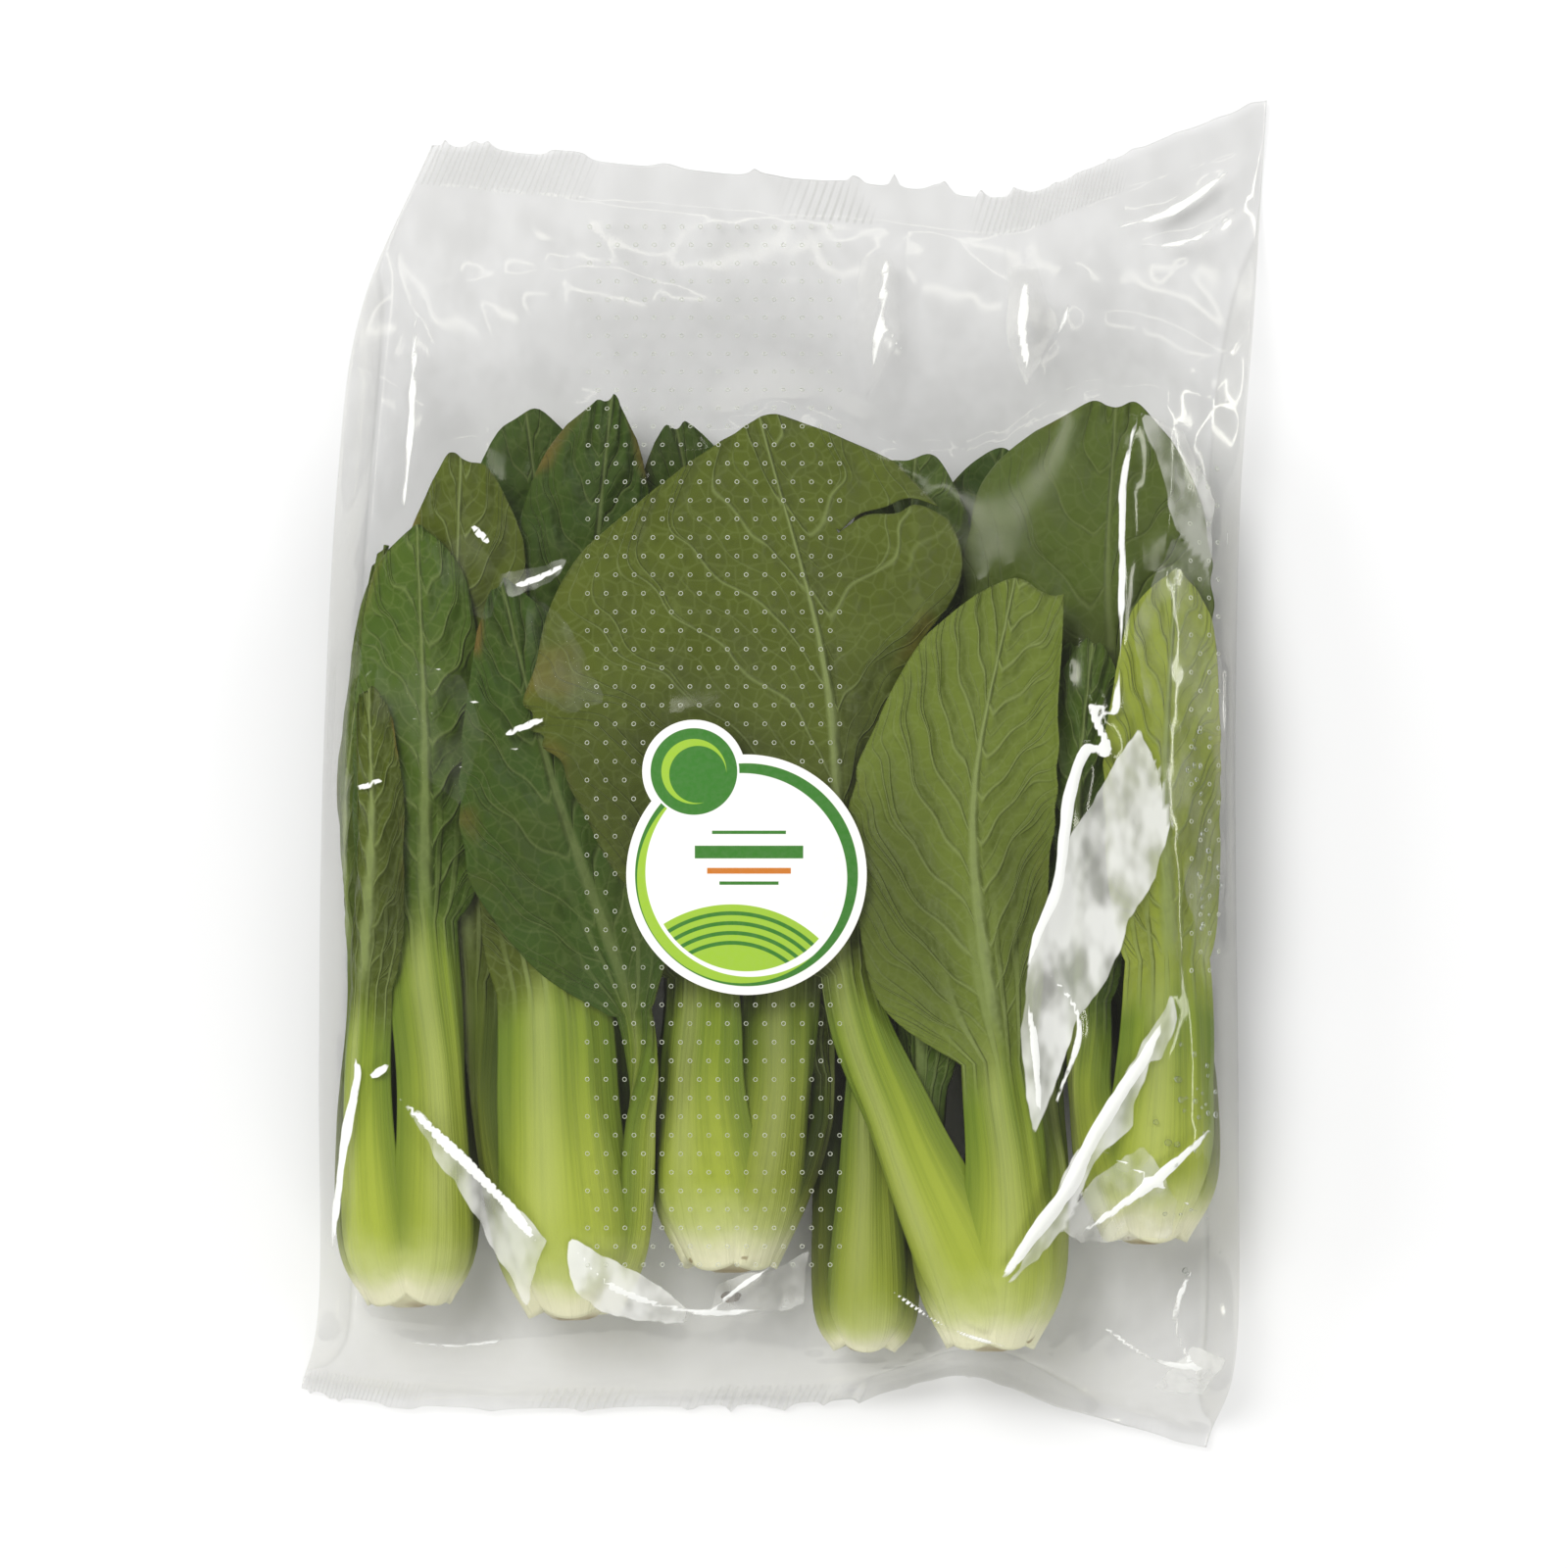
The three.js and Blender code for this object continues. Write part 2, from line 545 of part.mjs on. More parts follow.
// A point of the bag's flat outline, u across and v along.
function patch(u, v) {
  const [low, high] = [throughPoints(EDGE_BOTTOM, u), throughPoints(EDGE_TOP, u)];
  const [left, right] = [throughPoints(EDGE_LEFT, v), throughPoints(EDGE_RIGHT, v)];
  const corner = (edge, k) => mix(edge[0][k], edge.at(-1)[k], u);
  return [0, 1].map((k) => {
    const corners = mix(corner(EDGE_BOTTOM, k), corner(EDGE_TOP, k), v);
    return mix(low[k], high[k], v) + mix(left[k], right[k], u) - corners;
  });
}

// The film under the stack: flat on the table, rolled up at the sides, a little wavy at the seals.
function lowerFilm(u, v, reachX, reachY) {
  const [x, y] = patch(u, v);
  const inward = Math.min(x - patch(0, v)[0], patch(1, v)[0] - x);
  const fold = SIDE_FOLD.height * ease(SEAL.lower, 0.14, v) * (1 - ease(0.72, 0.94, v));
  const sideRise = clamp(1 - inward / SIDE_FOLD.roll, 0, 1) ** SIDE_FOLD.power * fold;
  const hump = Math.exp(-(((x - LIFTED_SEAL.x) / LIFTED_SEAL.spread) ** 2));
  const endRise = LIFTED_SEAL.height * hump * clamp(1 - v / 0.07, 0, 1) ** 1.5;
  const sealed = Math.max(ease(0.06, 0, v), ease(0.9, 1, v));
  const wave = SEAL.wave * sealed * (1 + Math.sin(7 * u + 2 * v));
  const room = nearby([lowMap], Math.min, 99, x, y, reachX, reachY) - FILM_GAP - 2 * FILM;
  const rise = sideRise + endRise + wave;
  return new THREE.Vector3(x, y, u === 0 || u === 1 ? rise : clamp(rise, 0, Math.max(0, room)));
}

// The places of the bag's columns and rows: columns closer at the folded sides, whole rows for the seals.
function bagLines() {
  const columns = [];
  for (let k = 0; k <= BAG_COLUMNS; k++) {
    const even = k / BAG_COLUMNS;
    columns.push(mix(even, 0.5 * (1 - Math.cos(Math.PI * even)), 0.8));
  }
  const rows = [...BAG_END_ROWS];
  for (let k = 1; k <= BAG_ROWS; k++) rows.push(mix(BAG_END_ROWS.at(-1), SEAL.upper, k / BAG_ROWS));
  rows.push(1);
  return { columns, rows };
}

// The upper film, drawn like a skin over the stack and over the flat place under the label.
function upperFilm(floor, rows, labelTop) {
  const sheet = floor.map((row) => row.map((p) => p.clone().setZ(p.z + 2 * FILM)));
  const spaceX = (i, j) => Math.max(sheet[i][j].x - sheet[i][j - 1].x, sheet[i][j + 1].x - sheet[i][j].x);
  const inside = (i, j) => i > 1 && j > 0 && i + 2 < rows.length && j + 1 < sheet[0].length;
  const rest = sheet.map((row, i) =>
    row.map((p, j) => {
      if (!inside(i, j)) return p.z;
      const [reachX, reachY] = [FILM_REACH * spaceX(i, j), FILM_REACH * (sheet[i + 1][j].y - p.y)];
      const top = nearby([topMap], Math.max, -1, p.x, p.y, reachX, reachY) + FILM_GAP + 1.5 * FILM;
      const onLabel = Math.hypot(p.x - LABEL.x, p.y - LABEL.y) < LABEL.radius + LABEL.margin;
      const onTab = Math.hypot(p.x - TAB_CENTRE.x, p.y - TAB_CENTRE.y) < LABEL_TAB.radius + LABEL.margin;
      return Math.max(top, p.z, onLabel || onTab ? labelTop : 0);
    }),
  );
  for (let pass = 0; pass < 500; pass++) {
    sheet.forEach((row, i) =>
      row.forEach((p, j) => {
        if (!inside(i, j)) return;
        const near = [sheet[i - 1][j], sheet[i + 1][j], row[j - 1], row[j + 1]];
        const weights = near.map((q) => 1 / Math.hypot(p.x - q.x, p.y - q.y));
        const total = weights.reduce((sum, w) => sum + w, 0);
        p.z = Math.max(rest[i][j], near.reduce((sum, q, k) => sum + weights[k] * q.z, 0) / total);
      }),
    );
  }
  return sheet;
}

// The bag: one piece of film round a hollow, sealed at both ends, with vent holes through its upper side.
function bagSolid(labelTop) {
  const { columns, rows } = bagLines();
  const floor = rows.map((v) => columns.map((u) => lowerFilm(u, v, 5, 5)));
  const sheet = upperFilm(floor, rows, labelTop);
  const inner = (film, way) =>
    film.slice(1, -1).map((row, i) =>
      row.slice(1, -1).map((p, j) => {
        const [west, east] = [film[i + 1][j], film[i + 1][j + 2]];
        const [south, north] = [film[i][j + 1], film[i + 2][j + 1]];
        const slopeX = (east.z - west.z) / (east.x - west.x);
        const slopeY = (north.z - south.z) / (north.y - south.y);
        const lap = way > 0 && Math.abs(p.x - LAP_SEAM.x) < LAP_SEAM.width / 2 ? LAP_SEAM.rise : 0;
        return p.clone().setZ(p.z + way * FILM * Math.hypot(1, slopeX, slopeY) + lap);
      }),
    );
  const ceiling = inner(sheet, -1);
  const bed = inner(floor, 1);
  ceiling.forEach((row, i) =>
    row.forEach((p, j) => {
      if (p.z - bed[i][j].z > 0.3) return;
      const middle = (sheet[i + 1][j + 1].z + floor[i + 1][j + 1].z) / 2;
      p.z = middle + 0.12;
      bed[i][j].z = middle - 0.12;
    }),
  );
  const holes = [];
  for (let k = 0; k < VENTS.columns * VENTS.rows; k++) {
    const hole = new THREE.CylinderGeometry(VENTS.radius, VENTS.radius, 60, 6);
    hole.rotateX(Math.PI / 2);
    const [column, row] = [k % VENTS.columns, Math.floor(k / VENTS.columns)];
    hole.translate(VENTS.x + VENTS.pitch * column, VENTS.y - VENTS.pitch * row, 30 + 3 * FILM);
    holes.push(solidOf(hole));
  }
  return slab(sheet, floor).subtract(wasm.Manifold.union([slab(ceiling, bed), ...holes]));
}

// The label: a paper round joined to its small round tab, flat on the film.
const TAB_CENTRE = {
  x: LABEL.x + LABEL_TAB.reach * Math.cos(LABEL_TAB.angle * RAD),
  y: LABEL.y + LABEL_TAB.reach * Math.sin(LABEL_TAB.angle * RAD),
};

function labelGeometry(z) {
  const [big, small, reach] = [LABEL.radius, LABEL_TAB.radius, LABEL_TAB.reach];
  const way = LABEL_TAB.angle * RAD;
  const onBig = Math.acos((big ** 2 + reach ** 2 - small ** 2) / (2 * big * reach));
  const onSmall = Math.acos((small ** 2 + reach ** 2 - big ** 2) / (2 * small * reach));
  const shape = new THREE.Shape();
  shape.absarc(0, 0, big, way + onBig, way - onBig + 2 * Math.PI, false);
  const [cx, cy] = [reach * Math.cos(way), reach * Math.sin(way)];
  shape.absarc(cx, cy, small, way + Math.PI + onSmall, way + 3 * Math.PI - onSmall, false);
  const geometry = new THREE.ExtrudeGeometry(shape, {
    depth: LABEL.thickness,
    bevelEnabled: false,
    curveSegments: 24,
  });
  geometry.translate(LABEL.x, LABEL.y, z);
  return geometry;
}

const FINISH = {
  head: { color: 0x7f9d45, roughness: 0.5, metalness: 0 },
  film: { color: 0xe9edec, roughness: 0.12, metalness: 0, transparent: true, opacity: 0.25 },
  paper: { color: 0xf2f1ec, roughness: 0.6, metalness: 0 },
};

function meshOf(name, geometry, finish) {
  const mesh = new THREE.Mesh(geometry, new THREE.MeshStandardMaterial(finish));
  mesh.name = name;
  return mesh;
}

const leavesOf = (head) => head.leaves.map((leaf) => ({ head, leaf, grid: leafGrid(head, leaf) }));
HEADS.flatMap(leavesOf).sort((a, b) => a.leaf.layer - b.leaf.layer).forEach(layDown);

const underLabel = LABEL.radius + LABEL.margin + 10;
const labelTop =
  nearby([topMap], Math.max, -1, LABEL.x, LABEL.y, underLabel, underLabel) + FILM_GAP + 1.5 * FILM;

const group = new THREE.Group();
HEADS.forEach((head) => group.add(meshOf(head.name, geometryOf(headSolid(head)), FINISH.head)));
group.add(meshOf("bag", geometryOf(bagSolid(labelTop)), FINISH.film));
group.add(meshOf("label", labelGeometry(labelTop + LABEL.gap), FINISH.paper));

export default group;
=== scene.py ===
import json
import math
from functools import lru_cache, reduce

import bmesh
import bpy
import numpy as np
from bpy.props import FloatProperty, FloatVectorProperty, IntProperty, PointerProperty
from mathutils import Matrix, Vector
from mathutils.bvhtree import BVHTree

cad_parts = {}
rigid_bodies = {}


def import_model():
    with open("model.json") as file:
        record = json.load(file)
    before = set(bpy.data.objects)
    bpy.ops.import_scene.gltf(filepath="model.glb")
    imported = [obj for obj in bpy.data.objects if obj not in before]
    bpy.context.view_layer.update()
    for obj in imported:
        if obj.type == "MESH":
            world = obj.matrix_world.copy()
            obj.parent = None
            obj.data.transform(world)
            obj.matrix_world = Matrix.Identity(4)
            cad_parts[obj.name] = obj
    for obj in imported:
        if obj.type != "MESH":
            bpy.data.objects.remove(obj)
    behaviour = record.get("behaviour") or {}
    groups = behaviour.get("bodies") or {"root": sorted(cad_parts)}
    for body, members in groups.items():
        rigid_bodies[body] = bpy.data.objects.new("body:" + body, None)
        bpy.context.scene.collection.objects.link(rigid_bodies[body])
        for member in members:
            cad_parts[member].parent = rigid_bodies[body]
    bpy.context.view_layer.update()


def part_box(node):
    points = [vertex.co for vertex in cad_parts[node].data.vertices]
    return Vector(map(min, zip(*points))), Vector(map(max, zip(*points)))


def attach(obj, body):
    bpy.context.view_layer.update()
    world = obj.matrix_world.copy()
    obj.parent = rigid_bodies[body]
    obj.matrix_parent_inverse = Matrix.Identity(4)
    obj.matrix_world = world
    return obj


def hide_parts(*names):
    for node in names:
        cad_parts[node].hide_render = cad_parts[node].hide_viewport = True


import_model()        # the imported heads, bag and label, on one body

# Six small bok choy heads in a clear sealed bag with a round paper label, seen from straight above.
# Tables and formulas are in millimetres, and a mesh gets its metres when it is made. +Y runs from the cut
# stems to the leaf tips.

bl_info = {
    "name": "Bagged bok choy",
    "version": (1, 0, 0),
    "blender": (4, 5, 0),
    "location": "3D View > Sidebar > Bok choy",
    "description": "Six bok choy heads in a clear bag with a round paper label",
    "category": "Object",
}

MM = 0.001

# The bag, as in the part's source
FILM = 0.6
BED = FILM + 1.2
SIDE_FOLD = {"height": 15, "roll": 9, "power": 2.2}
SEAL = {"lower": 0.02, "upper": 0.95, "wave": 1.1}
LIFTED_SEAL = {"x": 39, "spread": 22, "height": 13}
LABEL = {"x": -7.6, "y": -20.4, "radius": 24.4}
LABEL_TAB = {"radius": 10.5, "reach": 23.5, "angle": 117}
EDGE_BOTTOM = [
    (-99.5, -126.5), (-82, -129.5), (-56, -130.5), (-18, -130),
    (14, -128.6), (37, -123.5), (58, -130.5), (87, -138.5),
]
EDGE_TOP = [
    (-72.5, 129.6), (-48, 127.4), (-20, 124.4), (16, 121.8),
    (46, 119), (66, 126), (82, 132.4), (99.5, 138.5),
]
EDGE_LEFT = [
    (-99.5, -126.5), (-95.4, -108), (-95.4, -60), (-94.6, 0), (-91.6, 60), (-86.5, 97), (-72.5, 129.6),
]
EDGE_RIGHT = [
    (87, -138.5), (92.8, -118), (93.2, -72), (92.6, 0), (93.6, 56), (97, 100), (99.5, 138.5),
]

# The leaves, as in the part's source
STALK_RIB = [4.2, 6.4, 5.2, 4.4, 2.6, 1]  # thickness along the middle, from foot to tip
STALK_EDGE = 1.7
RIB_WIDTH = 3.4
SOURCE_BLADE = 0.8
OVAL = 2.5  # power of a plain blade's outline
TIP_SHARE = 0.3  # of the blade's width, at its tip
DIP = 0.04  # how far a tip is rounded, as a share of the leaf
DIP_POWER = 4
COLLAR = 0.6  # where the stalk ends, as a share of the leaf
MARGIN_WAVE = 0.9
STEP = 0.01

# How the leaves are stacked, as in the part's source
LEAF_GAP = 0.7
LEAF_REACH = (4, 10)
LEAF_SLOPE = 0.9
LIFT_PASSES = 8

# How a leaf is divided: the source's rows and columns, which the stacking works on, and the fine mesh's
DETAIL = {
    "hidden": {
        "stalk": [0, 0.1, 0.22, 0.42, 0.6], "blade": 4, "sides": [0.5, 1], "rib": False,
        "mesh": (18, 44),
    },
    "plain": {
        "stalk": [0, 0.07, 0.15, 0.26, 0.42, 0.6], "blade": 5, "sides": [0.55, 1], "rib": True,
        "mesh": (56, 120),
    },
    "fine": {
        "stalk": [0, 0.07, 0.15, 0.26, 0.4, 0.52, 0.6], "blade": 7, "sides": [0.35, 0.68, 1], "rib": True,
        "mesh": (96, 170),
    },
}
STALK_SHARE = 0.36  # of the mesh's rows
LEVEL = 10  # between the flat leaves that a head's mesh starts from
BLADE_START = (0.6, 0.72)  # where a blade's relief fades in
FOOT_ROUND = 0.055  # how far a leaf's foot rises to its margins, as a share of the leaf
LOBE_DEPTH = 0.004  # how far a tip's margin waves, as a share of the leaf
NIBBLES = (0.02, 0.015)  # how far a blade's margins wave and are nibbled, as shares of its half width
VEIN_SPREAD = 0.9  # half width of a side vein's ridge
VEIN_CLIMB = (0.24, 0.75)  # how far a side vein rises to the margin, as a share of the blade
VEIN_PITCH = 0.62  # of the blade's length over its veins, at right angles to them
FRILL = 0.45  # how far a blade's margins are frilled
STEM_SIDES = 32


def leaf(layer, around, stalk, blade, curl, face, collar, middle, tip, detail, **extra):
    """One leaf. dip and right_dip round its tip, tone runs from pale (-1.6) over olive to deep green (1),
    veins counts the side veins, hem is how far the right margin folds up, sunk how dark the painted
    shade on a low stalk is, and tear a slit in the margin."""
    made = dict(layer=layer, around=around, stalk=stalk, blade=blade, curl=curl, face=face)
    made.update(collar=collar, middle=middle, tip=tip, detail=detail)
    made.update(dip=DIP, tone=0, veins=8, hem=0, sunk=1, tear=None)
    made.update(extra)
    made.setdefault("right_dip", made["dip"])
    return made


# Six heads. base is the cut end, height its axis above the bed, heading the way it grows in degrees.
# A leaf leaves its head at the angle around, 0 on top and positive to the right. stalk is its half width
# at the bulb and at the collar, blade the blade's, or its half widths from collar to tip on each side.
# face is the angle that its back has turned to at collar, middle and tip, curl how far the blade rolls.
HEADS = [
    dict(name="head_far_left", base=(-76.8, -108), radius=13.2, height=16.4, heading=91, leaves=[
        leaf(1, 175, (12, 7), 14, 8, (180, 180, 180), (-75, -44, 5), (-74, 4, 5), (-74, 40, 6), "hidden"),
        leaf(2, -100, (9, 5), 8, 20, (-80, -66, -50), (-87, -45, 13), (-88.5, -2, 14), (-81.5, 47, 14),
             "plain", tone=0.5),
        leaf(3, 105, (9, 5), 8, 16, (110, 140, 160), (-67, -40, 12), (-62, 2, 11), (-60, 34, 12), "hidden"),
        leaf(8, 40, (11, 7.8), 15, 46, (16, 10, 0), (-73.5, -31, 27), (-73.5, 8, 27), (-75, 51, 22), "plain",
             tone=1),
        leaf(9, -42, (9.4, 5.2), 7, 75, (-35, -25, -20), (-85, -47, 25), (-83.5, -12, 26), (-84.5, 18, 24),
             "plain", tone=0.2),
    ]),
    dict(name="head_left", base=(-43, -110.4), radius=14.8, height=17.4, heading=92, leaves=[
        leaf(2, 178, (12, 8), {"left": [8, 12, 15, 17, 17, 14, 8], "right": [8, 12, 15, 16, 15, 13, 8]}, 10,
             (180, 180, 180), (-46, -40, 4), (-48, 28, 5), (-53, 75, 8), "hidden", dip=0.06, tone=0.3),
        leaf(5, 145, (9, 6), {"left": [6, 9, 12, 13, 12, 8, 2], "right": [6, 10, 13, 15, 16, 12, 3]}, -12,
             (165, 185, 190), (-38, -40, 9), (-39, 34, 12), (-35.4, 78, 16), "plain", dip=0.03, tone=0.5),
        leaf(6, -80, (10, 6), {"left": [7, 12, 14, 14, 13, 11, 6], "right": [7, 13, 15, 16, 15, 13, 8]}, 26,
             (-40, -14, -6), (-63, -42, 17), (-67, 14, 18), (-66, 66, 19), "plain", dip=0.06, tone=0.1),
        leaf(10, 82, (8, 5.5), {"left": [7, 17, 20, 20, 17, 11, 3], "right": [7, 18, 22, 20, 15, 9, 3]}, -10,
             (130, 182, 180), (-30, -48, 22), (-47, -2, 27), (-58, 40, 27), "fine", tone=0.2),
        leaf(9, -4, (15, 11.8), {"left": [12, 13, 12, 11, 9, 6, 3], "right": [12, 13, 13, 12, 10, 7, 3]}, 34,
             (-4, -6, -4), (-47.5, -43, 30), (-54, -12, 29), (-61, 20, 25), "plain", tone=0.1),
    ]),
    dict(name="head_middle", base=(-11, -100.6), radius=15.2, height=18.6, heading=90, leaves=[
        leaf(2, 180, (12, 8), 14, 10, (180, 180, 176), (-11, -46, 4), (-13, 20, 4), (-22.4, 73, 7), "hidden",
             tone=1),
        leaf(4, -112, (10, 5), 8, 14, (-120, -150, -170), (-22, -46, 12), (-24, -4, 11), (-25, 28, 11),
             "hidden"),
        leaf(4, 88, (5.5, 3), 7, 20, (84, 110, 130), (8, -62, 23), (8, -20, 18), (8, 14, 14), "plain"),
        leaf(7, 34, (10.5, 8.5), 15, 24, (14, 0, 0), (0, -42, 29), (3, 0, 26), (6, 42, 20), "plain"),
        leaf(8, -26, (13, 7.8), 17, 24, (-12, -4, 0), (-17, -42, 30), (-20, 4, 27), (-24, 48, 20), "plain"),
    ]),
    dict(name="head_behind", base=(16.4, -117.6), radius=9, height=12.2, heading=88, leaves=[
        leaf(1, 174, (8, 6), 12, 6, (180, 180, 180), (17, -60, 3.6), (17, 0, 3.6), (16, 46, 4), "hidden"),
        leaf(3, 84, (6.5, 4), {"left": [4, 8, 11, 13, 13, 12, 8], "right": [4, 8, 11, 13, 13, 12, 8]}, 8,
             (120, 172, 180), (23, -56, 9), (35, 14, 6), (45, 67, 9), "plain", dip=0.05, tone=0.6),
        leaf(3, -75, (6.2, 4), 7, 12, (-100, -140, -160), (10, -62, 9), (7, -20, 8), (4, 14, 8), "hidden"),
        leaf(5, 3, (8.8, 5), {"left": [5, 9, 12, 13, 13, 12, 8], "right": [5, 9, 13, 14, 14, 13, 9]}, 22,
             (-4, 0, 0), (18, -57, 14), (23, 18, 12), (27, 66, 14), "plain", dip=0.05, tone=0.7, sunk=0.3),
    ]),
    dict(name="head_centre", base=(42.3, -116.8), radius=14.2, height=19.4, heading=90, leaves=[
        leaf(2, 172, (11, 7), 12, 8, (180, 180, 180), (46, -62, 4), (47, -14, 4), (49, 30, 5), "hidden"),
        leaf(6, -84, (7, 5), 8, 24, (-50, -25, -15), (29, -66, 14), (28, -30, 11), (27, -4, 10), "hidden",
             tone=1),
        leaf(7, 74, (10, 6), 10, 30, (50, 20, 10), (54, -62, 19), (57, -18, 17), (60, 28, 17), "plain",
             tone=1),
        leaf(11, -32, (13.5, 5.4), {"left": [6, 44, 55, 60, 60, 47, 14], "right": [6, 7, 9, 15, 33, 26, 12]},
             16, (-6, -2, 0), (12.6, -40, 34), (9, 18, 33), (-5, 73, 25), "fine", dip=0.05, veins=6,
             tear={"inner": (0.3, 0.905), "outer": 0.945, "gap": 0.011}),
        leaf(12, 26, (12.5, 7.6),
             {"left": [8, 23, 25, 25, 22, 16, 8], "right": [8, 12, 15, 17, 16, 13.4, 10.5]}, 22,
             (8, 2, 2), (43.6, -58, 35), (38.4, -8, 36), (47, 40, 31), "fine", dip=0.06, right_dip=0,
             tone=-0.55, veins=11, hem=1.3),
    ]),
    dict(name="head_right", base=(73.8, -95), radius=13.6, height=17, heading=89, leaves=[
        leaf(1, -150, (10, 6), 13, 8, (-178, -180, -180), (68, -46, 4), (67, 2, 4), (66, 44, 5), "hidden"),
        leaf(3, 86, (9, 5.5), 8, 24, (75, 66, 55), (83.5, -44, 14), (84, 8, 14), (82, 60, 15), "plain"),
        leaf(6, 160, (11, 7), {"left": [7, 15, 20, 22, 21, 16, 7], "right": [7, 19, 27, 31, 29, 23, 8]}, -14,
             (180, 180, 184), (75, -46, 8), (66.5, 30, 17), (68, 77, 17), "fine", dip=0.03, tone=-0.7,
             veins=7),
        leaf(8, -58, (9.5, 5.5), 9, 26, (-30, -8, 0), (61.5, -48, 20), (60, -8, 18), (63, 28, 17), "plain",
             tone=0.9),
        leaf(9, 16, (13, 9.5), 12.5, 30, (8, 6, 8), (78.5, -42, 29), (77.5, 0, 28), (80, 42, 24), "fine",
             tone=-1.6),
    ]),
]


def paint(code):
    """A colour from its web code, as the linear light that shaders use."""
    parts = [int(code[k:k + 2], 16) / 255 for k in (1, 3, 5)]
    return tuple(p / 12.92 if p <= 0.04045 else ((p + 0.055) / 1.055) ** 2.4 for p in parts)


def hue(name, code, description):
    return FloatVectorProperty(name=name, description=description, subtype="COLOR", default=paint(code))


def length(name, default, description):
    return FloatProperty(name=name, description=description, default=default, unit="LENGTH")


def share(name, default, description):
    return FloatProperty(name=name, description=description, default=default, min=0, max=1, subtype="FACTOR")


class LeafLooks(bpy.types.PropertyGroup):
    blade: length("Blade thickness", 0.00055, "Thickness of a leaf blade")
    vein: length("Vein height", 0.00026, "How far a side vein stands out")
    quilt: length("Quilting", 0.0005, "How deep a blade sinks between side veins")
    strand: length("Stalk rib height", 0.0003, "Height of the lengthwise ribs")
    back: hue("Back of blade", "#4f5a15", "Underside of a blade")
    back_olive: hue("Olive back", "#6d7c2f", "Underside of the paler blades")
    inside: hue("Inside of blade", "#446119", "Upper side of a blade")
    veins: hue("Veins", "#919f60", "Midrib and side veins")
    stalk_high: hue("Upper stalk", "#879a30", "Stalk near the blade")
    stalk_low: hue("Lower stalk", "#abb844", "Stalk near the bulb")
    bulb: hue("Bulb", "#cdd48a", "Swollen foot of a stalk")
    heart: hue("Cut end", "#efedc8", "Pale foot round the cut")
    # Painted shade for a stalk's margins, and also the colour of its streaks
    edge_shade_and_streaks: hue("Stalk edge", "#55701c", "Deep green along a stalk's margins")
    autumn: hue("Old margin", "#a5743a", "Orange brown of an ageing margin")
    scar: hue("Scar", "#8a7040", "Dried brown of the cut and bruises")


class FilmLooks(bpy.types.PropertyGroup):
    gap: length("Gap", 0.0004, "Room between the leaves and the film")
    tint: hue("Film", "#cfcec4", "Colour of the light that clear film throws back")
    # Painted white for the film's glints and sheen, where folded, crumpled film throws back light
    milk: hue("Milky film", "#fbfcf8", "Colour of folded and crumpled film")
    veil: share("Veil", 0.024, "Share of light that clear film stops")
    gloss: share("Gloss roughness", 0.09, "Roughness of smooth film")
    vent_pitch: length("Vent pitch", 0.0038, "Distance between vents in a row")
    vent_radius: length("Vent radius", 0.00042, "Radius of the melted rim of a vent")


class LabelLooks(bpy.types.PropertyGroup):
    paper: hue("Paper", "#f4f3ef", "Bare paper")
    dark: hue("Dark ring", "#3d7a2e", "Outer ring and tab")
    light: hue("Light ring", "#9cc23c", "Inner ring and field")
    accent: hue("Accent", "#c9772c", "Warm bar")


class StageLooks(bpy.types.PropertyGroup):
    floor: hue("Floor", "#f2f2f2", "Plain floor")
    camera_height: length("Camera height", 3.0, "Camera above the table")
    view_width: length("View width", 0.32, "Width that the camera takes in")
    sky: FloatProperty(name="Sky", description="Strength of the even light all round", default=0.26)
    key: FloatProperty(name="Key light", description="Power of a side light", default=7.0, unit="POWER")


LOOKS = {
    "leaf_looks": LeafLooks, "film_looks": FilmLooks, "label_looks": LabelLooks, "stage_looks": StageLooks,
}


def ease(low, high, v):
    f = np.clip((v - low) / (high - low), 0, 1)
    return f * f * (3 - 2 * f)


def mix(a, b, f):
    return a + (b - a) * f


def unit(v):
    return v / np.linalg.norm(v, axis=-1, keepdims=True)


def through(values, t):
    """A smooth line through evenly spaced values or points, read at each t from 0 to 1."""
    values = np.asarray(values, float)
    t = np.asarray(t, float)
    last = len(values) - 1
    place = np.clip(t, 0, 1) * last
    i = np.minimum(np.floor(place).astype(int), last - 1)
    f = place - i
    ends = [[2 * values[0] - values[1]], values, [2 * values[-1] - values[-2]]]
    line = np.concatenate(ends)
    a, b, c, d = line[i], line[i + 1], line[i + 2], line[i + 3]
    if values.ndim > 1:
        f = f[..., None]
    return b + 0.5 * f * (c - a + f * (2 * a - 5 * b + 4 * c - d + f * (3 * (b - c) + d - a)))


def way_of(head):
    turn = math.radians(head["heading"])
    return np.array([math.cos(turn), math.sin(turn), 0])


def spine_of(head, leaf):
    """The line up the middle of a leaf: two points on the bulb, one on the stalk, then the leaf's own."""
    along = way_of(head)
    turn = math.radians(leaf["around"])
    out = math.cos(turn) * np.array([0, 0, 1]) + math.sin(turn) * np.array([along[1], -along[0], 0])
    base = np.array([*head["base"], head["height"]])
    radius = head["radius"]
    foot = base + out * 0.5 * radius
    bulb = base + (out * 0.86 + along * 0.95) * radius
    collar = np.array(leaf["collar"], float)
    waist = (bulb + collar) / 2 + out * 0.1 * radius
    return np.array([foot, bulb, waist, collar, leaf["middle"], leaf["tip"]]) + (0, 0, BED)


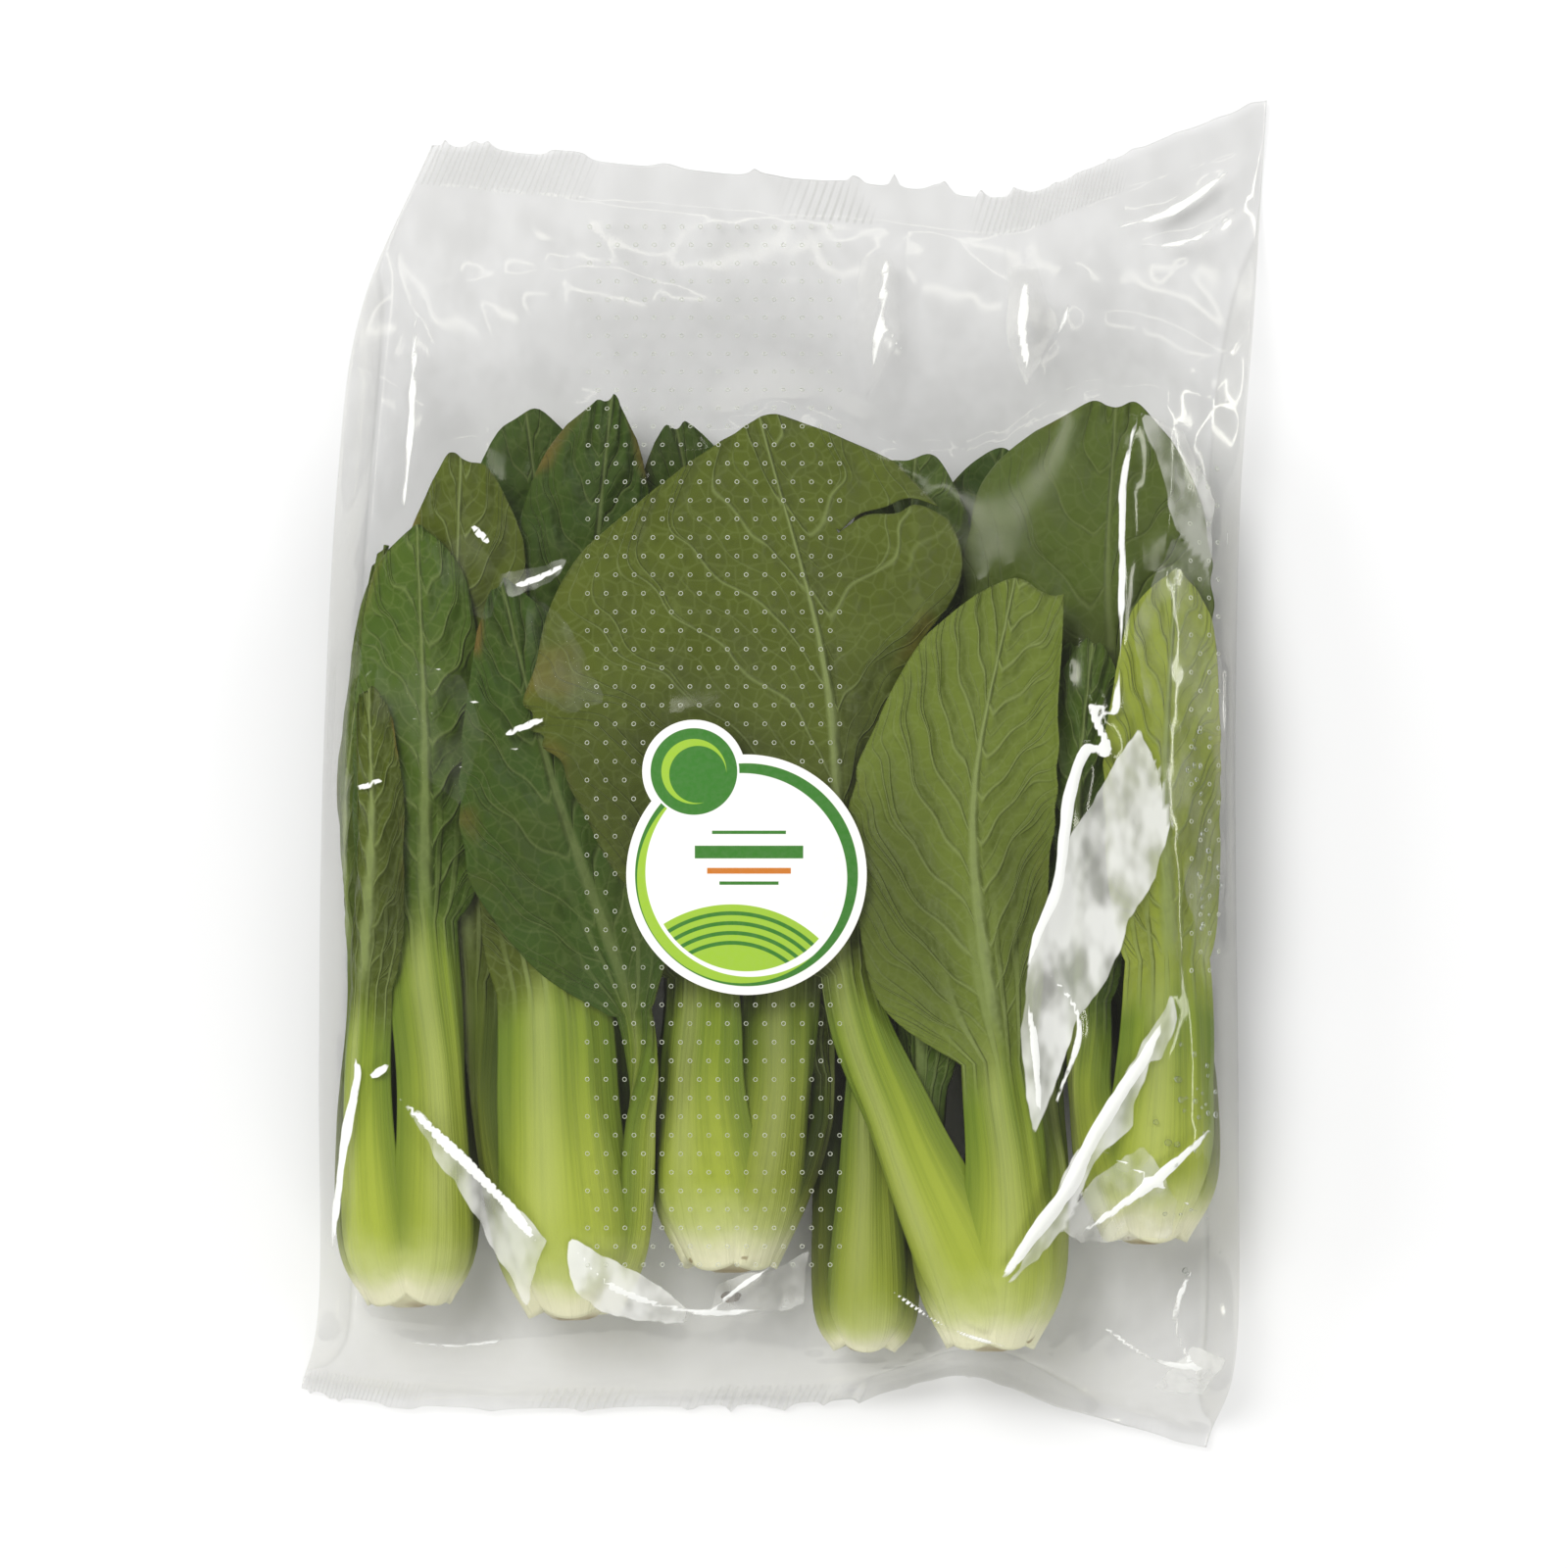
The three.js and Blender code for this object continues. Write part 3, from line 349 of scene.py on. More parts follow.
def half_width(head, leaf, sign, t):
    bulb, neck = leaf["stalk"]
    stalk = through([0.55 * head["radius"], bulb, mix(bulb, neck, 0.62), neck], t / COLLAR)
    f = np.clip((t - COLLAR) / (1 - COLLAR), 0, 1)
    blade = leaf["blade"]
    if isinstance(blade, dict):
        wide = np.where(sign < 0, through(blade["left"], f), through(blade["right"], f))
    else:
        oval = np.maximum(0, 1 - np.abs(2 * f**0.8 - 1) ** OVAL) ** (1 / OVAL)
        wide = np.maximum(blade * oval, mix(neck, TIP_SHARE * blade, f))
    return np.where(t <= COLLAR, stalk, wide)


def dipped(leaf, t, s):
    """How far along the leaf a row is at s, once the tip is rounded."""
    dip = np.where(s > 0, leaf["right_dip"], leaf["dip"])
    return t - dip * np.abs(s) ** DIP_POWER * ease(0.7, 1, t)


def leaf_points(head, leaf, t, s, face, blade_thickness=SOURCE_BLADE, relief=0):
    """Points at t along the leaf and s from its left margin (-1) to its right one (1).
    face is 1 on the leaf's back and -1 on its inside, and relief raises the surface on the back's side."""
    t = dipped(leaf, t, s)
    spine = spine_of(head, leaf)
    centre = through(spine, t)
    tangent = unit(through(spine, np.minimum(t + STEP, 1)) - through(spine, np.maximum(t - STEP, 0)))
    level = unit(tangent * (1, 1, 0))
    way = unit(mix(way_of(head), level, ease(0.15, 0.5, t)[..., None]))
    turn = np.radians(through([leaf["around"]] * 3 + list(leaf["face"]), t))
    across = np.stack([way[..., 1] * np.cos(turn), -way[..., 0] * np.cos(turn), -np.sin(turn)], axis=-1)
    back = unit(np.cross(across, tangent))

    sign = np.where(s < 0, -1, 1)
    q = np.abs(s)
    half = half_width(head, leaf, sign, t)
    curl = math.radians(leaf["curl"])
    bend = through([1.1, leaf["stalk"][0] / head["radius"], 0.62, 0.5, curl, curl], t)
    bend = np.where(np.abs(bend) < 1e-3, 1e-3, bend)
    angle = bend * q
    run = np.sin(angle) / bend
    drop = (1 - np.cos(angle)) / bend

    blade = ease(0.5, 0.66, t)
    edge = mix(STALK_EDGE, blade_thickness, ease(0.45, 0.66, t))
    profile = mix(1 - q * q, np.exp(-((q * half / RIB_WIDTH) ** 2)), blade)
    thick = edge + np.maximum(through(STALK_RIB, t) - edge, 0) * profile
    wave = MARGIN_WAVE * blade * q * q * np.sin(11 * t + 1.7 * leaf["around"] + sign)
    sideways = sign * (half * run + 0.5 * face * thick * np.sin(angle))
    outward = wave - half * drop + 0.5 * face * thick * np.cos(angle) + relief
    return centre + across * sideways[..., None] + back * outward[..., None]


# Height charts: one number for each square of the table
CHART_CORNER = (-104, -144)
CHART_SIZE = (104, 144)
CELL = 2


def new_chart(value):
    return np.full((CHART_SIZE[1], CHART_SIZE[0]), float(value))


def span(low, high, axis):
    first = max(0, int((low - CHART_CORNER[axis]) // CELL))
    return first, min(CHART_SIZE[axis] - 1, int((high - CHART_CORNER[axis]) // CELL)) + 1


def mark(chart, a, b, c):
    """Keeps the triangle's height in each square that it covers, where it is the highest."""
    area = (b[0] - a[0]) * (c[1] - a[1]) - (c[0] - a[0]) * (b[1] - a[1])
    if abs(area) < 1e-6:
        return
    corners = np.array([a, b, c])
    low = corners.min(axis=0)
    high = corners.max(axis=0)
    i0, i1 = span(low[0], high[0], 0)
    j0, j1 = span(low[1], high[1], 1)
    x = CHART_CORNER[0] + CELL * (np.arange(i0, i1) + 0.5)
    y = (CHART_CORNER[1] + CELL * (np.arange(j0, j1) + 0.5))[:, None]
    v = ((x - a[0]) * (c[1] - a[1]) - (c[0] - a[0]) * (y - a[1])) / area
    w = ((b[0] - a[0]) * (y - a[1]) - (x - a[0]) * (b[1] - a[1])) / area
    inside = (v >= -0.3) & (w >= -0.3) & (v + w <= 1.3)
    z = np.clip(a[2] + v * (b[2] - a[2]) + w * (c[2] - a[2]), low[2], high[2])
    part = chart[j0:j1, i0:i1]
    part[inside] = np.maximum(part, z)[inside]


def coarse_places(head, leaf):
    """The source's rows t and, in each row, its columns s."""
    detail = DETAIL[leaf["detail"]]
    count = detail["blade"]
    rows = list(detail["stalk"])
    rows += [COLLAR + (1 - COLLAR) * 0.5 * (1 - math.cos(math.pi * k / count)) for k in range(1, count + 1)]
    places = []
    for t in rows:
        sides = {}
        for sign in (-1, 1):
            rib = float(np.clip(RIB_WIDTH / half_width(head, leaf, sign, np.array(t)), 0.06, 0.3))
            spread = [rib] + [mix(rib, 1, s) for s in detail["sides"]]
            sides[sign] = spread if detail["rib"] else detail["sides"]
        places.append([-q for q in reversed(sides[-1])] + [0] + list(sides[1]))
    return np.array(rows), np.array(places)


def shifted(grid):
    """The four neighbours of every entry of a grid, nan outside it."""
    near = np.full((4,) + grid.shape, np.nan)
    near[0, 1:] = grid[:-1]
    near[1, :-1] = grid[1:]
    near[2, :, 1:] = grid[:, :-1]
    near[3, :, :-1] = grid[:, 1:]
    return near


def lift_over(points, rows, below):
    """How far each point of a coarse leaf is lifted, smoothly, to clear the charts below it."""
    back = points[0]
    lowest = np.where((points[0, ..., 2] < points[1, ..., 2])[..., None], points[0], points[1])
    apart = np.hypot(shifted(back[..., 0]) - lowest[..., 0], shifted(back[..., 1]) - lowest[..., 1])
    reach = np.clip(0.6 * np.nanmax(apart, axis=0), *LEAF_REACH)
    need = np.zeros(reach.shape)
    for i, j in np.ndindex(reach.shape):
        x, y, z = lowest[i, j]
        i0, i1 = span(x - reach[i, j], x + reach[i, j], 0)
        j0, j1 = span(y - reach[i, j], y + reach[i, j], 1)
        top = max([chart[j0:j1, i0:i1].max() for chart in below], default=-1)
        need[i, j] = ease(0.28, 0.5, rows[i]) * max(0, top + LEAF_GAP - z)
    distance = np.hypot(shifted(back[..., 0]) - back[..., 0], shifted(back[..., 1]) - back[..., 1])
    hold = ease(0.14, 0.36, rows)[:, None]
    lift = need
    for _ in range(LIFT_PASSES):
        near = shifted(lift)
        held = np.nanmax(near - LEAF_SLOPE * distance, axis=0)
        mean = (np.nansum(near, axis=0) + lift) / (np.sum(~np.isnan(near), axis=0) + 1)
        drawn = np.maximum(np.maximum(need, held), mean)
        lift = np.maximum(need, hold * drawn)
    return lift


@lru_cache
def stack_lifts():
    """The lift of every leaf in the stack, by head and place in its head, as rows, columns and lifts."""
    order = [(entry["layer"], h, k) for h, head in enumerate(HEADS) for k, entry in enumerate(head["leaves"])]
    lifts = {}
    charts = []
    for _, h, k in sorted(order, key=lambda place: place[0]):
        head = HEADS[h]
        entry = head["leaves"][k]
        rows, places = coarse_places(head, entry)
        t = np.repeat(rows[:, None], places.shape[1], axis=1)
        points = np.array([leaf_points(head, entry, t, places, face) for face in (1, -1)])
        below = [blade for _, blade, _ in charts] + [stalk for other, _, stalk in charts if other != h]
        lift = lift_over(points, rows, below)
        points[..., 2] += lift
        blade, stalk = new_chart(-1), new_chart(-1)
        for i in range(len(rows) - 1):
            own = blade if rows[i] >= COLLAR - 0.1 else stalk
            for j in range(places.shape[1] - 1):
                for face in (0, 1):
                    a, b, c, d = (points[face, m, n] for m, n in
                                  ((i, j), (i, j + 1), (i + 1, j + 1), (i + 1, j)))
                    mark(own, a, b, c)
                    mark(own, a, c, d)
        charts.append((h, blade, stalk))
        lifts[h, k] = (rows, places, lift)
    return lifts


def blur(grid, passes):
    """Evens a grid out with its neighbours."""
    for _ in range(passes):
        padded = np.pad(grid, 1, mode="edge")
        grid = (padded[:-2, 1:-1] + padded[2:, 1:-1] + padded[1:-1, :-2] + padded[1:-1, 2:] + 4 * grid) / 8
    return grid


def read_grid(grid, u, v):
    """The value of an even grid at u across and v up, both from 0 to 1."""
    rows, columns = grid.shape
    x = np.clip(u, 0, 1) * (columns - 1)
    y = np.clip(v, 0, 1) * (rows - 1)
    i = np.minimum(x.astype(int), columns - 2)
    j = np.minimum(y.astype(int), rows - 2)
    fx = x - i
    fy = y - j
    low = mix(grid[j, i], grid[j, i + 1], fx)
    high = mix(grid[j + 1, i], grid[j + 1, i + 1], fx)
    return mix(low, high, fy)


LIFT_GRID = (41, 81)
LIFT_BLUR = 10


def smooth_lift(h, k, t, s):
    """The lift of a leaf read anywhere on it, with the source's coarse steps evened out."""
    rows, places, lift = stack_lifts()[h, k]
    across = np.linspace(-1, 1, LIFT_GRID[0])
    along = np.linspace(0, 1, LIFT_GRID[1])
    even = np.array([np.interp(across, row, values) for row, values in zip(places, lift)])
    even = np.array([np.interp(along, rows, column) for column in even.T]).T
    return read_grid(blur(even, LIFT_BLUR), (s + 1) / 2, t)


def vein_marks(head, leaf, t, s):
    """A blade's vein phase, a whole number on each side vein, with the distance in millimetres that one
    phase takes, and how far a point is from the midrib."""
    f = np.clip((t - COLLAR) / (1 - COLLAR), 0, 1)
    q = np.abs(s)
    sign = np.where(s < 0, -1, 1)
    half = half_width(head, leaf, sign, t)
    extent = math.dist(leaf["collar"], leaf["middle"]) + math.dist(leaf["middle"], leaf["tip"])
    count = leaf["veins"]
    widest = half_width(head, leaf, sign, np.full_like(t, mix(COLLAR, 1, 0.5)))
    climb = np.clip(1.3 * widest / extent, *VEIN_CLIMB)
    seed = leaf["around"] + 3 * leaf["layer"]
    wobble = q * (0.3 * np.sin(7 * f + 2 * q + seed + sign) + 0.16 * np.sin(17 * f - 7 * q + 2 * seed))
    wobble += 0.07 * np.sin(31 * f + 9 * q + seed) * np.minimum(1, 4 * q)
    phase = count * (f - climb * q**1.15) + wobble + 0.4 * sign * ease(0, 0.12, q)
    return phase, np.full_like(t, VEIN_PITCH * extent / count), s * half


def linked(name, data):
    made = bpy.data.objects.new(name, data)
    bpy.context.scene.collection.objects.link(made)
    return made


def new_mesh(name, bm):
    mesh = bpy.data.meshes.new(name)
    bm.to_mesh(mesh)
    bm.free()
    return mesh


def new_piece(name, bm, material, slot, *nodes):
    """A piece from a finished bmesh, in metres, smooth, riding with the part and standing for its nodes."""
    mesh = new_mesh(name, bm)
    mesh.shade_smooth()
    mesh.materials.append(material)
    piece = linked(name, mesh)
    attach(piece, "root")
    if nodes:
        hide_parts(*nodes)
    return piece


def places_of(mesh):
    flat = np.empty(len(mesh.vertices) * 3)
    mesh.vertices.foreach_get("co", flat)
    return flat.reshape(-1, 3)


def keep_mask(mesh, name, values):
    mesh.attributes.new(name, "FLOAT", "POINT").data.foreach_set("value", np.asarray(values, np.float32))


def corner_places(mesh, values):
    """Writes a UV map from a pair of numbers for each vertex."""
    vertex = np.empty(len(mesh.loops), dtype=np.int32)
    mesh.loops.foreach_get("vertex_index", vertex)
    layer = mesh.uv_layers.new(name="UVMap")
    layer.uv.foreach_set("vector", values[vertex].astype(np.float32).ravel())


def flat_grid(bm, columns, rows, level=0):
    """Adds a flat grid, 2 wide and 2 long, and gives its faces."""
    first = len(bm.faces)
    place = Matrix.Translation((0, 0, level))
    bmesh.ops.create_grid(bm, x_segments=columns, y_segments=rows, size=1, matrix=place)
    bm.faces.ensure_lookup_table()
    return bm.faces[first:]


def doubled(bm, faces, way):
    """Closes faces into a slab with a second skin, moved by way, and gives that skin's vertices."""
    grown = bmesh.ops.extrude_face_region(bm, geom=faces, use_keep_orig=True)
    verts = [item for item in grown["geom"] if isinstance(item, bmesh.types.BMVert)]
    bmesh.ops.translate(bm, vec=way, verts=verts)
    return verts


def spun(bm, centre, axis, steps, weld):
    """A closed mesh from the outline in bm, spun all round, for a piece to take in."""
    outline = bm.verts[:] + bm.edges[:]
    bmesh.ops.spin(bm, geom=outline, cent=centre, axis=axis, angle=2 * math.pi, steps=steps, use_merge=True)
    bmesh.ops.remove_doubles(bm, verts=bm.verts, dist=weld)
    bmesh.ops.recalc_face_normals(bm, faces=bm.faces)
    return new_mesh("spun", bm)


def slit_row(tear, s):
    """Where along the leaf the slit runs at s, and how far out along the slit that is, from 0 to 1."""
    inner_s, inner_t = tear["inner"]
    f = np.clip((s - inner_s) / (1 - inner_s), 0, 1)
    return mix(inner_t, tear["outer"], f) + 0.006 * np.sin(9 * f) * f, f


def slit_index(entry):
    """The row of faces that the slit takes out."""
    rows = DETAIL[entry["detail"]]["mesh"][1]
    inner_t = entry["tear"]["inner"][1]
    return int((STALK_SHARE + (1 - STALK_SHARE) * (inner_t - COLLAR) / (1 - COLLAR)) * rows)


def opened(entry, s, t):
    """Rows moved so that the missing row of faces becomes the slit, widening to the margin."""
    tear = entry["tear"]
    rows = DETAIL[entry["detail"]]["mesh"][1]
    k = slit_index(entry)
    low, high = (read_rows(2 * n / rows - 1) for n in (k, k + 1))
    line, f = slit_row(tear, s)
    above = t > (low + high) / 2
    bare = np.where(above, high, low)
    wanted = line + np.where(above, 0.3, -0.7) * tear["gap"] * f * (1 + 0.25 * np.sin(13 * f))
    fade = ease(0.09, 0, np.abs(t - bare))
    return t + (wanted - bare) * fade * (f > 0)


def flat_leaf(bm, k, entry):
    """Adds a leaf as a flat closed slab: the back at level k, the inside just below it. So a vertex's
    place says which leaf it belongs to, and where on it."""
    columns, rows = DETAIL[entry["detail"]]["mesh"]
    faces = flat_grid(bm, columns, rows, LEVEL * k)
    if entry["tear"]:
        slit = slit_index(entry)
        inner = entry["tear"]["inner"][0]

        def gone(face):
            middle = face.calc_center_median()
            return int((middle.y + 1) / 2 * rows) == slit and middle.x > inner

        lost = [face for face in faces if gone(face)]
        bmesh.ops.delete(bm, geom=lost, context="FACES")
        faces = [face for face in faces if face.is_valid]
    doubled(bm, faces, (0, 0, -1))


def read_rows(y):
    """A grid's y from -1 to 1 as t along the leaf, with the rows closer on the blade."""
    return np.interp((y + 1) / 2, [0, STALK_SHARE, 1], [0, COLLAR, 1])


def stem_mesh():
    """The short stem with its cut end, spun from its outline, for a head of radius 1, at its own level."""
    outline = [
        (0, -0.07), (0.2, -0.09), (0.3, -0.06), (0.46, 0.06), (0.6, 0.3), (0.6, 0.5), (0.42, 0.9), (0, 1.2),
    ]
    bm = bmesh.new()
    verts = [bm.verts.new((x, y, -LEVEL)) for x, y in outline]
    for pair in zip(verts, verts[1:]):
        bm.edges.new(pair)
    return spun(bm, (0, 0, -LEVEL), (0, 1, 0), STEM_SIDES, 1e-4)


def seed_of(entry):
    return entry["around"] + 5 * entry["layer"]


def surface_relief(looks, k, entry, t, s, phase, lap):
    """How far veins, quilting, stalk ribs, frills and the hem raise a leaf's back, in millimetres."""
    q = np.abs(s)
    on_blade = ease(*BLADE_START, t)
    away = np.abs(phase - np.round(phase)) * lap
    ridge = looks.vein / MM * np.exp(-((away / VEIN_SPREAD) ** 2)) * (1 - 0.6 * q)
    swell = looks.quilt / MM * np.cos(2 * np.pi * phase) * np.clip(4.5 * q * (1 - q), 0, 1)
    ribs = looks.strand / MM * np.cos(2 * np.pi * (2.1 * s + 0.25 * np.sin(3 * s + k)))
    ribbed = ease(0.2, 0.5, t) * ease(0.74, 0.62, t) * (1 - q * q)
    frill = FRILL * q**5 * np.sin(37 * t + seed_of(entry) + np.sign(s))
    hem = entry["hem"] * ease(0.9, 1, s) * ease(0.68, 0.74, t) * ease(0.99, 0.95, t)
    return (ridge + swell + frill) * on_blade + ribs * ribbed + hem


def uneven(entry, t, s):
    """The margins' waves: where each point moves along the leaf and across it."""
    q = np.abs(s)
    seed = seed_of(entry)
    wave, nibble = NIBBLES
    nibbled = wave * np.sin(27 * t + seed) + nibble * np.sin(97 * t + 2 * seed + 3 * np.sin(23 * t))
    wider = 1 + ease(*BLADE_START, t) * nibbled * ease(0.5, 1, q)
    lobes = LOBE_DEPTH * (1 + np.sin(5 * s + seed)) * ease(0.86, 1, t)
    return t + FOOT_ROUND * s * s * ease(0.12, 0, t) - lobes, s * wider


def leaf_masks(entry, t, s, face):
    """What the greens ask at each point of a leaf, beside its veins, with the painted shade that darkens it
    where it lies in shadow.
    """
    q = np.abs(s)
    # Painted shade: low stalks darken as if under the leaves over them, cupped blade bases as if in their own
    # shadow, and the insides of the leaves most of all on hidden ones
    low = ease(8.5, 5, entry["layer"]) * ease(0.7, 0.5, t) * ease(0.04, 0.3, t) * entry["sunk"]
    cupped_shade = ease(0.62, 0.7, t) * ease(0.88, 0.74, t) * ease(0.1, 0.5, q)
    covered_shade = mix(1, 0.3, ease(0.72, 0.9, t)) if entry["detail"] == "hidden" else 0.35
    return {
        "blade": ease(0.55, 0.66, t + 0.05 * q * ease(0.4, 0.6, t)),
        "inside": face < 0,
        "tone": entry["tone"],
        "deep": np.where(face < 0, covered_shade, np.maximum(0.85 * low, 0.34 * cupped_shade)),
        "autumn": ease(0.72, 1, q) * ease(0.7, 0.9, t) * (0.5 + 0.5 * np.sin(9 * t + 2 * seed_of(entry))),
    }


def make_head(h, looks, material):
    """One head: flat leaves and a stem in one mesh, whose points then go to their places on the head."""
    head = HEADS[h]
    bm = bmesh.new()
    for k, entry in enumerate(head["leaves"]):
        flat_leaf(bm, k, entry)
    leaf_count = len(bm.verts)
    stem = stem_mesh()
    bm.from_mesh(stem)
    bpy.data.meshes.remove(stem)

    mesh = new_piece(head["name"] + "_leaves", bm, material, "greens", head["name"]).data
    flat = places_of(mesh)
    placed = np.zeros_like(flat)
    names = ("blade", "inside", "tone", "cut", "phase", "lap", "across", "deep", "autumn")
    masks = {name: np.zeros(len(flat)) for name in names}
    guide = np.zeros((len(flat), 2))
    for k, entry in enumerate(head["leaves"]):
        own = np.abs(flat[:, 2] - (LEVEL * k - 0.5)) < 1
        own[leaf_count:] = False
        s = flat[own, 0]
        face = np.where(flat[own, 2] > LEVEL * k - 0.5, 1, -1)
        t = read_rows(flat[own, 1])
        if entry["tear"]:
            t = opened(entry, s, t)
        phase, lap, across = vein_marks(head, entry, dipped(entry, t, s), s)
        relief = surface_relief(looks, k, entry, t, s, phase, lap)
        points = leaf_points(head, entry, *uneven(entry, t, s), face, looks.blade / MM, relief)
        points[:, 2] += smooth_lift(h, k, t, s)
        placed[own] = points
        known = {"phase": phase, "lap": lap, "across": across, **leaf_masks(entry, t, s, face)}
        for name, values in known.items():
            masks[name][own] = values
        guide[own] = np.stack([(s + 1) / 2, t], axis=-1)

    along = way_of(head)
    side = np.array([along[1], -along[0], 0])
    x, y, z = flat[leaf_count:].T + [[0], [0], [LEVEL]]
    base = np.array([*head["base"], head["height"] + BED])
    stem_points = x[:, None] * side + y[:, None] * along + z[:, None] * (0, 0, 1)
    placed[leaf_count:] = base + head["radius"] * stem_points
    masks["cut"][leaf_count:] = ease(0.02, -0.06, y)
    guide[leaf_count:] = (0.5, 0)

    mesh.vertices.foreach_set("co", (placed * MM).ravel())
    for name, values in masks.items():
        keep_mask(mesh, name, values)
    corner_places(mesh, guide)
    face_out(mesh)


def face_out(mesh):
    """Turns the faces outwards, once the points are in their places."""
    bm = bmesh.new()
    bm.from_mesh(mesh)
    bmesh.ops.recalc_face_normals(bm, faces=bm.faces)
    bm.to_mesh(mesh)
    bm.free()


# Shader trees
class Tree:
    """A material's or group's nodes, with short calls for the ones that it uses."""

    def __init__(self, tree):
        self.tree = tree

    def put(self, socket, value):
        if isinstance(value, bpy.types.NodeSocket):
            self.tree.links.new(value, socket)
        elif socket.type == "RGBA":
            socket.default_value = (*value, 1)
        else:
            socket.default_value = value

    def fill(self, node, values):
        for key, value in values.items():
            self.put(node.inputs[key], value)

    def node(self, kind, values=None, **settings):
        made = self.tree.nodes.new("ShaderNode" + kind)
        for key, value in settings.items():
            setattr(made, key, value)
        self.fill(made, values or {})
        return made

    def math(self, operation, *values, clamp=False):
        made = self.node("Math", operation=operation, use_clamp=clamp)
        self.fill(made, dict(enumerate(values)))
        return made.outputs[0]

    def times(self, *values):
        return reduce(lambda a, b: self.math("MULTIPLY", a, b), values)

    def plus(self, *values):
        return reduce(lambda a, b: self.math("ADD", a, b), values)

    def most(self, *values):
        return reduce(lambda a, b: self.math("MAXIMUM", a, b), values)

    def size(self, value):
        return self.math("ABSOLUTE", value)

    def blend(self, amount, a, b):
        """The colour a, with b laid over it by amount."""
        return self.node("Mix", {0: amount, 6: a, 7: b}, data_type="RGBA").outputs[2]

    def span(self, value, low, high, to_low=0.0, to_high=1.0):
        """A soft step from to_low, where value is low, to to_high, where it is high."""
        values = {"Value": value, "From Min": low, "From Max": high, "To Min": to_low, "To Max": to_high}
        return self.node("MapRange", values, interpolation_type="SMOOTHSTEP").outputs[0]

    def noise(self, vector, scale, detail=3.0, roughness=0.55):
        values = {"Vector": vector, "Scale": scale, "Detail": detail, "Roughness": roughness}
        return self.node("TexNoise", values).outputs[0]

    def mask(self, name):
        return self.node("Attribute", attribute_name=name).outputs["Fac"]

    def place(self):
        """Where a point is in its object, in metres."""
        return self.node("TexCoord").outputs["Object"]

    def guide(self):
        """The UV map, across and along a leaf or the bag."""
        return self.node("UVMap", uv_map="UVMap").outputs[0]

    def parts(self, vector):
        outputs = self.node("SeparateXYZ", {"Vector": vector}).outputs
        return outputs["X"], outputs["Y"]

    def stretch(self, vector, scale, location=(0, 0, 0), turn=0.0):
        values = {"Vector": vector, "Location": location, "Rotation": (0, 0, turn), "Scale": scale}
        return self.node("Mapping", values).outputs[0]

    def bump(self, height, strength, distance):
        values = {"Height": height, "Strength": strength, "Distance": distance}
        return self.node("Bump", values).outputs[0]

    def group(self, shared, **values):
        made = self.node("Group", values, node_tree=shared)
        return made.outputs[0]


def new_material(name):
    material = bpy.data.materials.new(name)
    material.use_nodes = True
    material.node_tree.nodes.clear()
    tree = Tree(material.node_tree)
    shader = tree.node("BsdfPrincipled")
    tree.node("OutputMaterial", {"Surface": shader.outputs[0]})
    return material, tree, shader


def shared_group(name, sockets, build):
    """A node group with a Vector and the named number inputs, and one output, built once."""
    if name in bpy.data.node_groups:
        return bpy.data.node_groups[name]
    group = bpy.data.node_groups.new(name, "ShaderNodeTree")
    group.interface.new_socket("Vector", in_out="INPUT", socket_type="NodeSocketVector")
    for label, default in sockets.items():
        made = group.interface.new_socket(label, in_out="INPUT", socket_type="NodeSocketFloat")
        made.default_value = default
    group.interface.new_socket("Value", in_out="OUTPUT", socket_type="NodeSocketFloat")
    inputs = group.nodes.new("NodeGroupInput").outputs
    output = group.nodes.new("NodeGroupOutput")
    group.links.new(build(Tree(group), inputs), output.inputs[0])
    return group


def mottle_group():
    """Soft uneven patches, from 0 to 1."""
    def build(tree, inputs):
        return tree.span(tree.noise(inputs["Vector"], inputs["Scale"], 3.0, 0.6), 0.3, 0.7)
    return shared_group("Mottle", {"Scale": 60.0}, build)


def net_group():
    """A net of fine lines between cells, 1 on a line."""
    def build(tree, inputs):
        values = {"Vector": inputs["Vector"], "Scale": inputs["Scale"]}
        cells = tree.node("TexVoronoi", values, feature="DISTANCE_TO_EDGE")
        return tree.span(cells.outputs["Distance"], 0.0, inputs["Width"], 1.0, 0.0)
    return shared_group("Fine net", {"Scale": 250.0, "Width": 0.08}, build)


def side_veins(tree, place, side):
    """The side veins and their forks, 1 on a line, from the phase that each point carries."""
    shiver = tree.math("MULTIPLY_ADD", tree.noise(place, 95.0, 1.0), 0.22, tree.mask("phase"))
    signed = tree.math("SUBTRACT", tree.math("FRACT", tree.plus(shiver, 0.39)), 0.5)
    lap = tree.mask("lap")

    def line(away, width):
        return tree.span(tree.times(away, lap), width, 0.0)

    vein = line(tree.size(signed), tree.span(side, 0.0, 1.0, 0.8, 0.25))
    split = tree.math("SUBTRACT", signed, tree.span(side, 0.3, 1.0, 0.0, 0.36))
    fork = tree.times(line(tree.size(split), 0.4), tree.span(side, 0.3, 0.5, 0.0, 0.75))
    late = tree.plus(signed, tree.span(side, 0.5, 1.0, 0.08, 0.34))
    late_fork = tree.times(line(tree.size(late), 0.34), tree.span(side, 0.5, 0.7, 0.0, 0.6))
    between = tree.math("SUBTRACT", 0.5, tree.size(signed))
    weak = tree.times(line(between, 0.4), tree.span(side, 0.75, 0.2, 0.0, 0.4))
    return tree.times(tree.most(vein, fork, late_fork, weak), tree.span(side, 0.7, 1.0, 1.0, 0.5), 0.62)


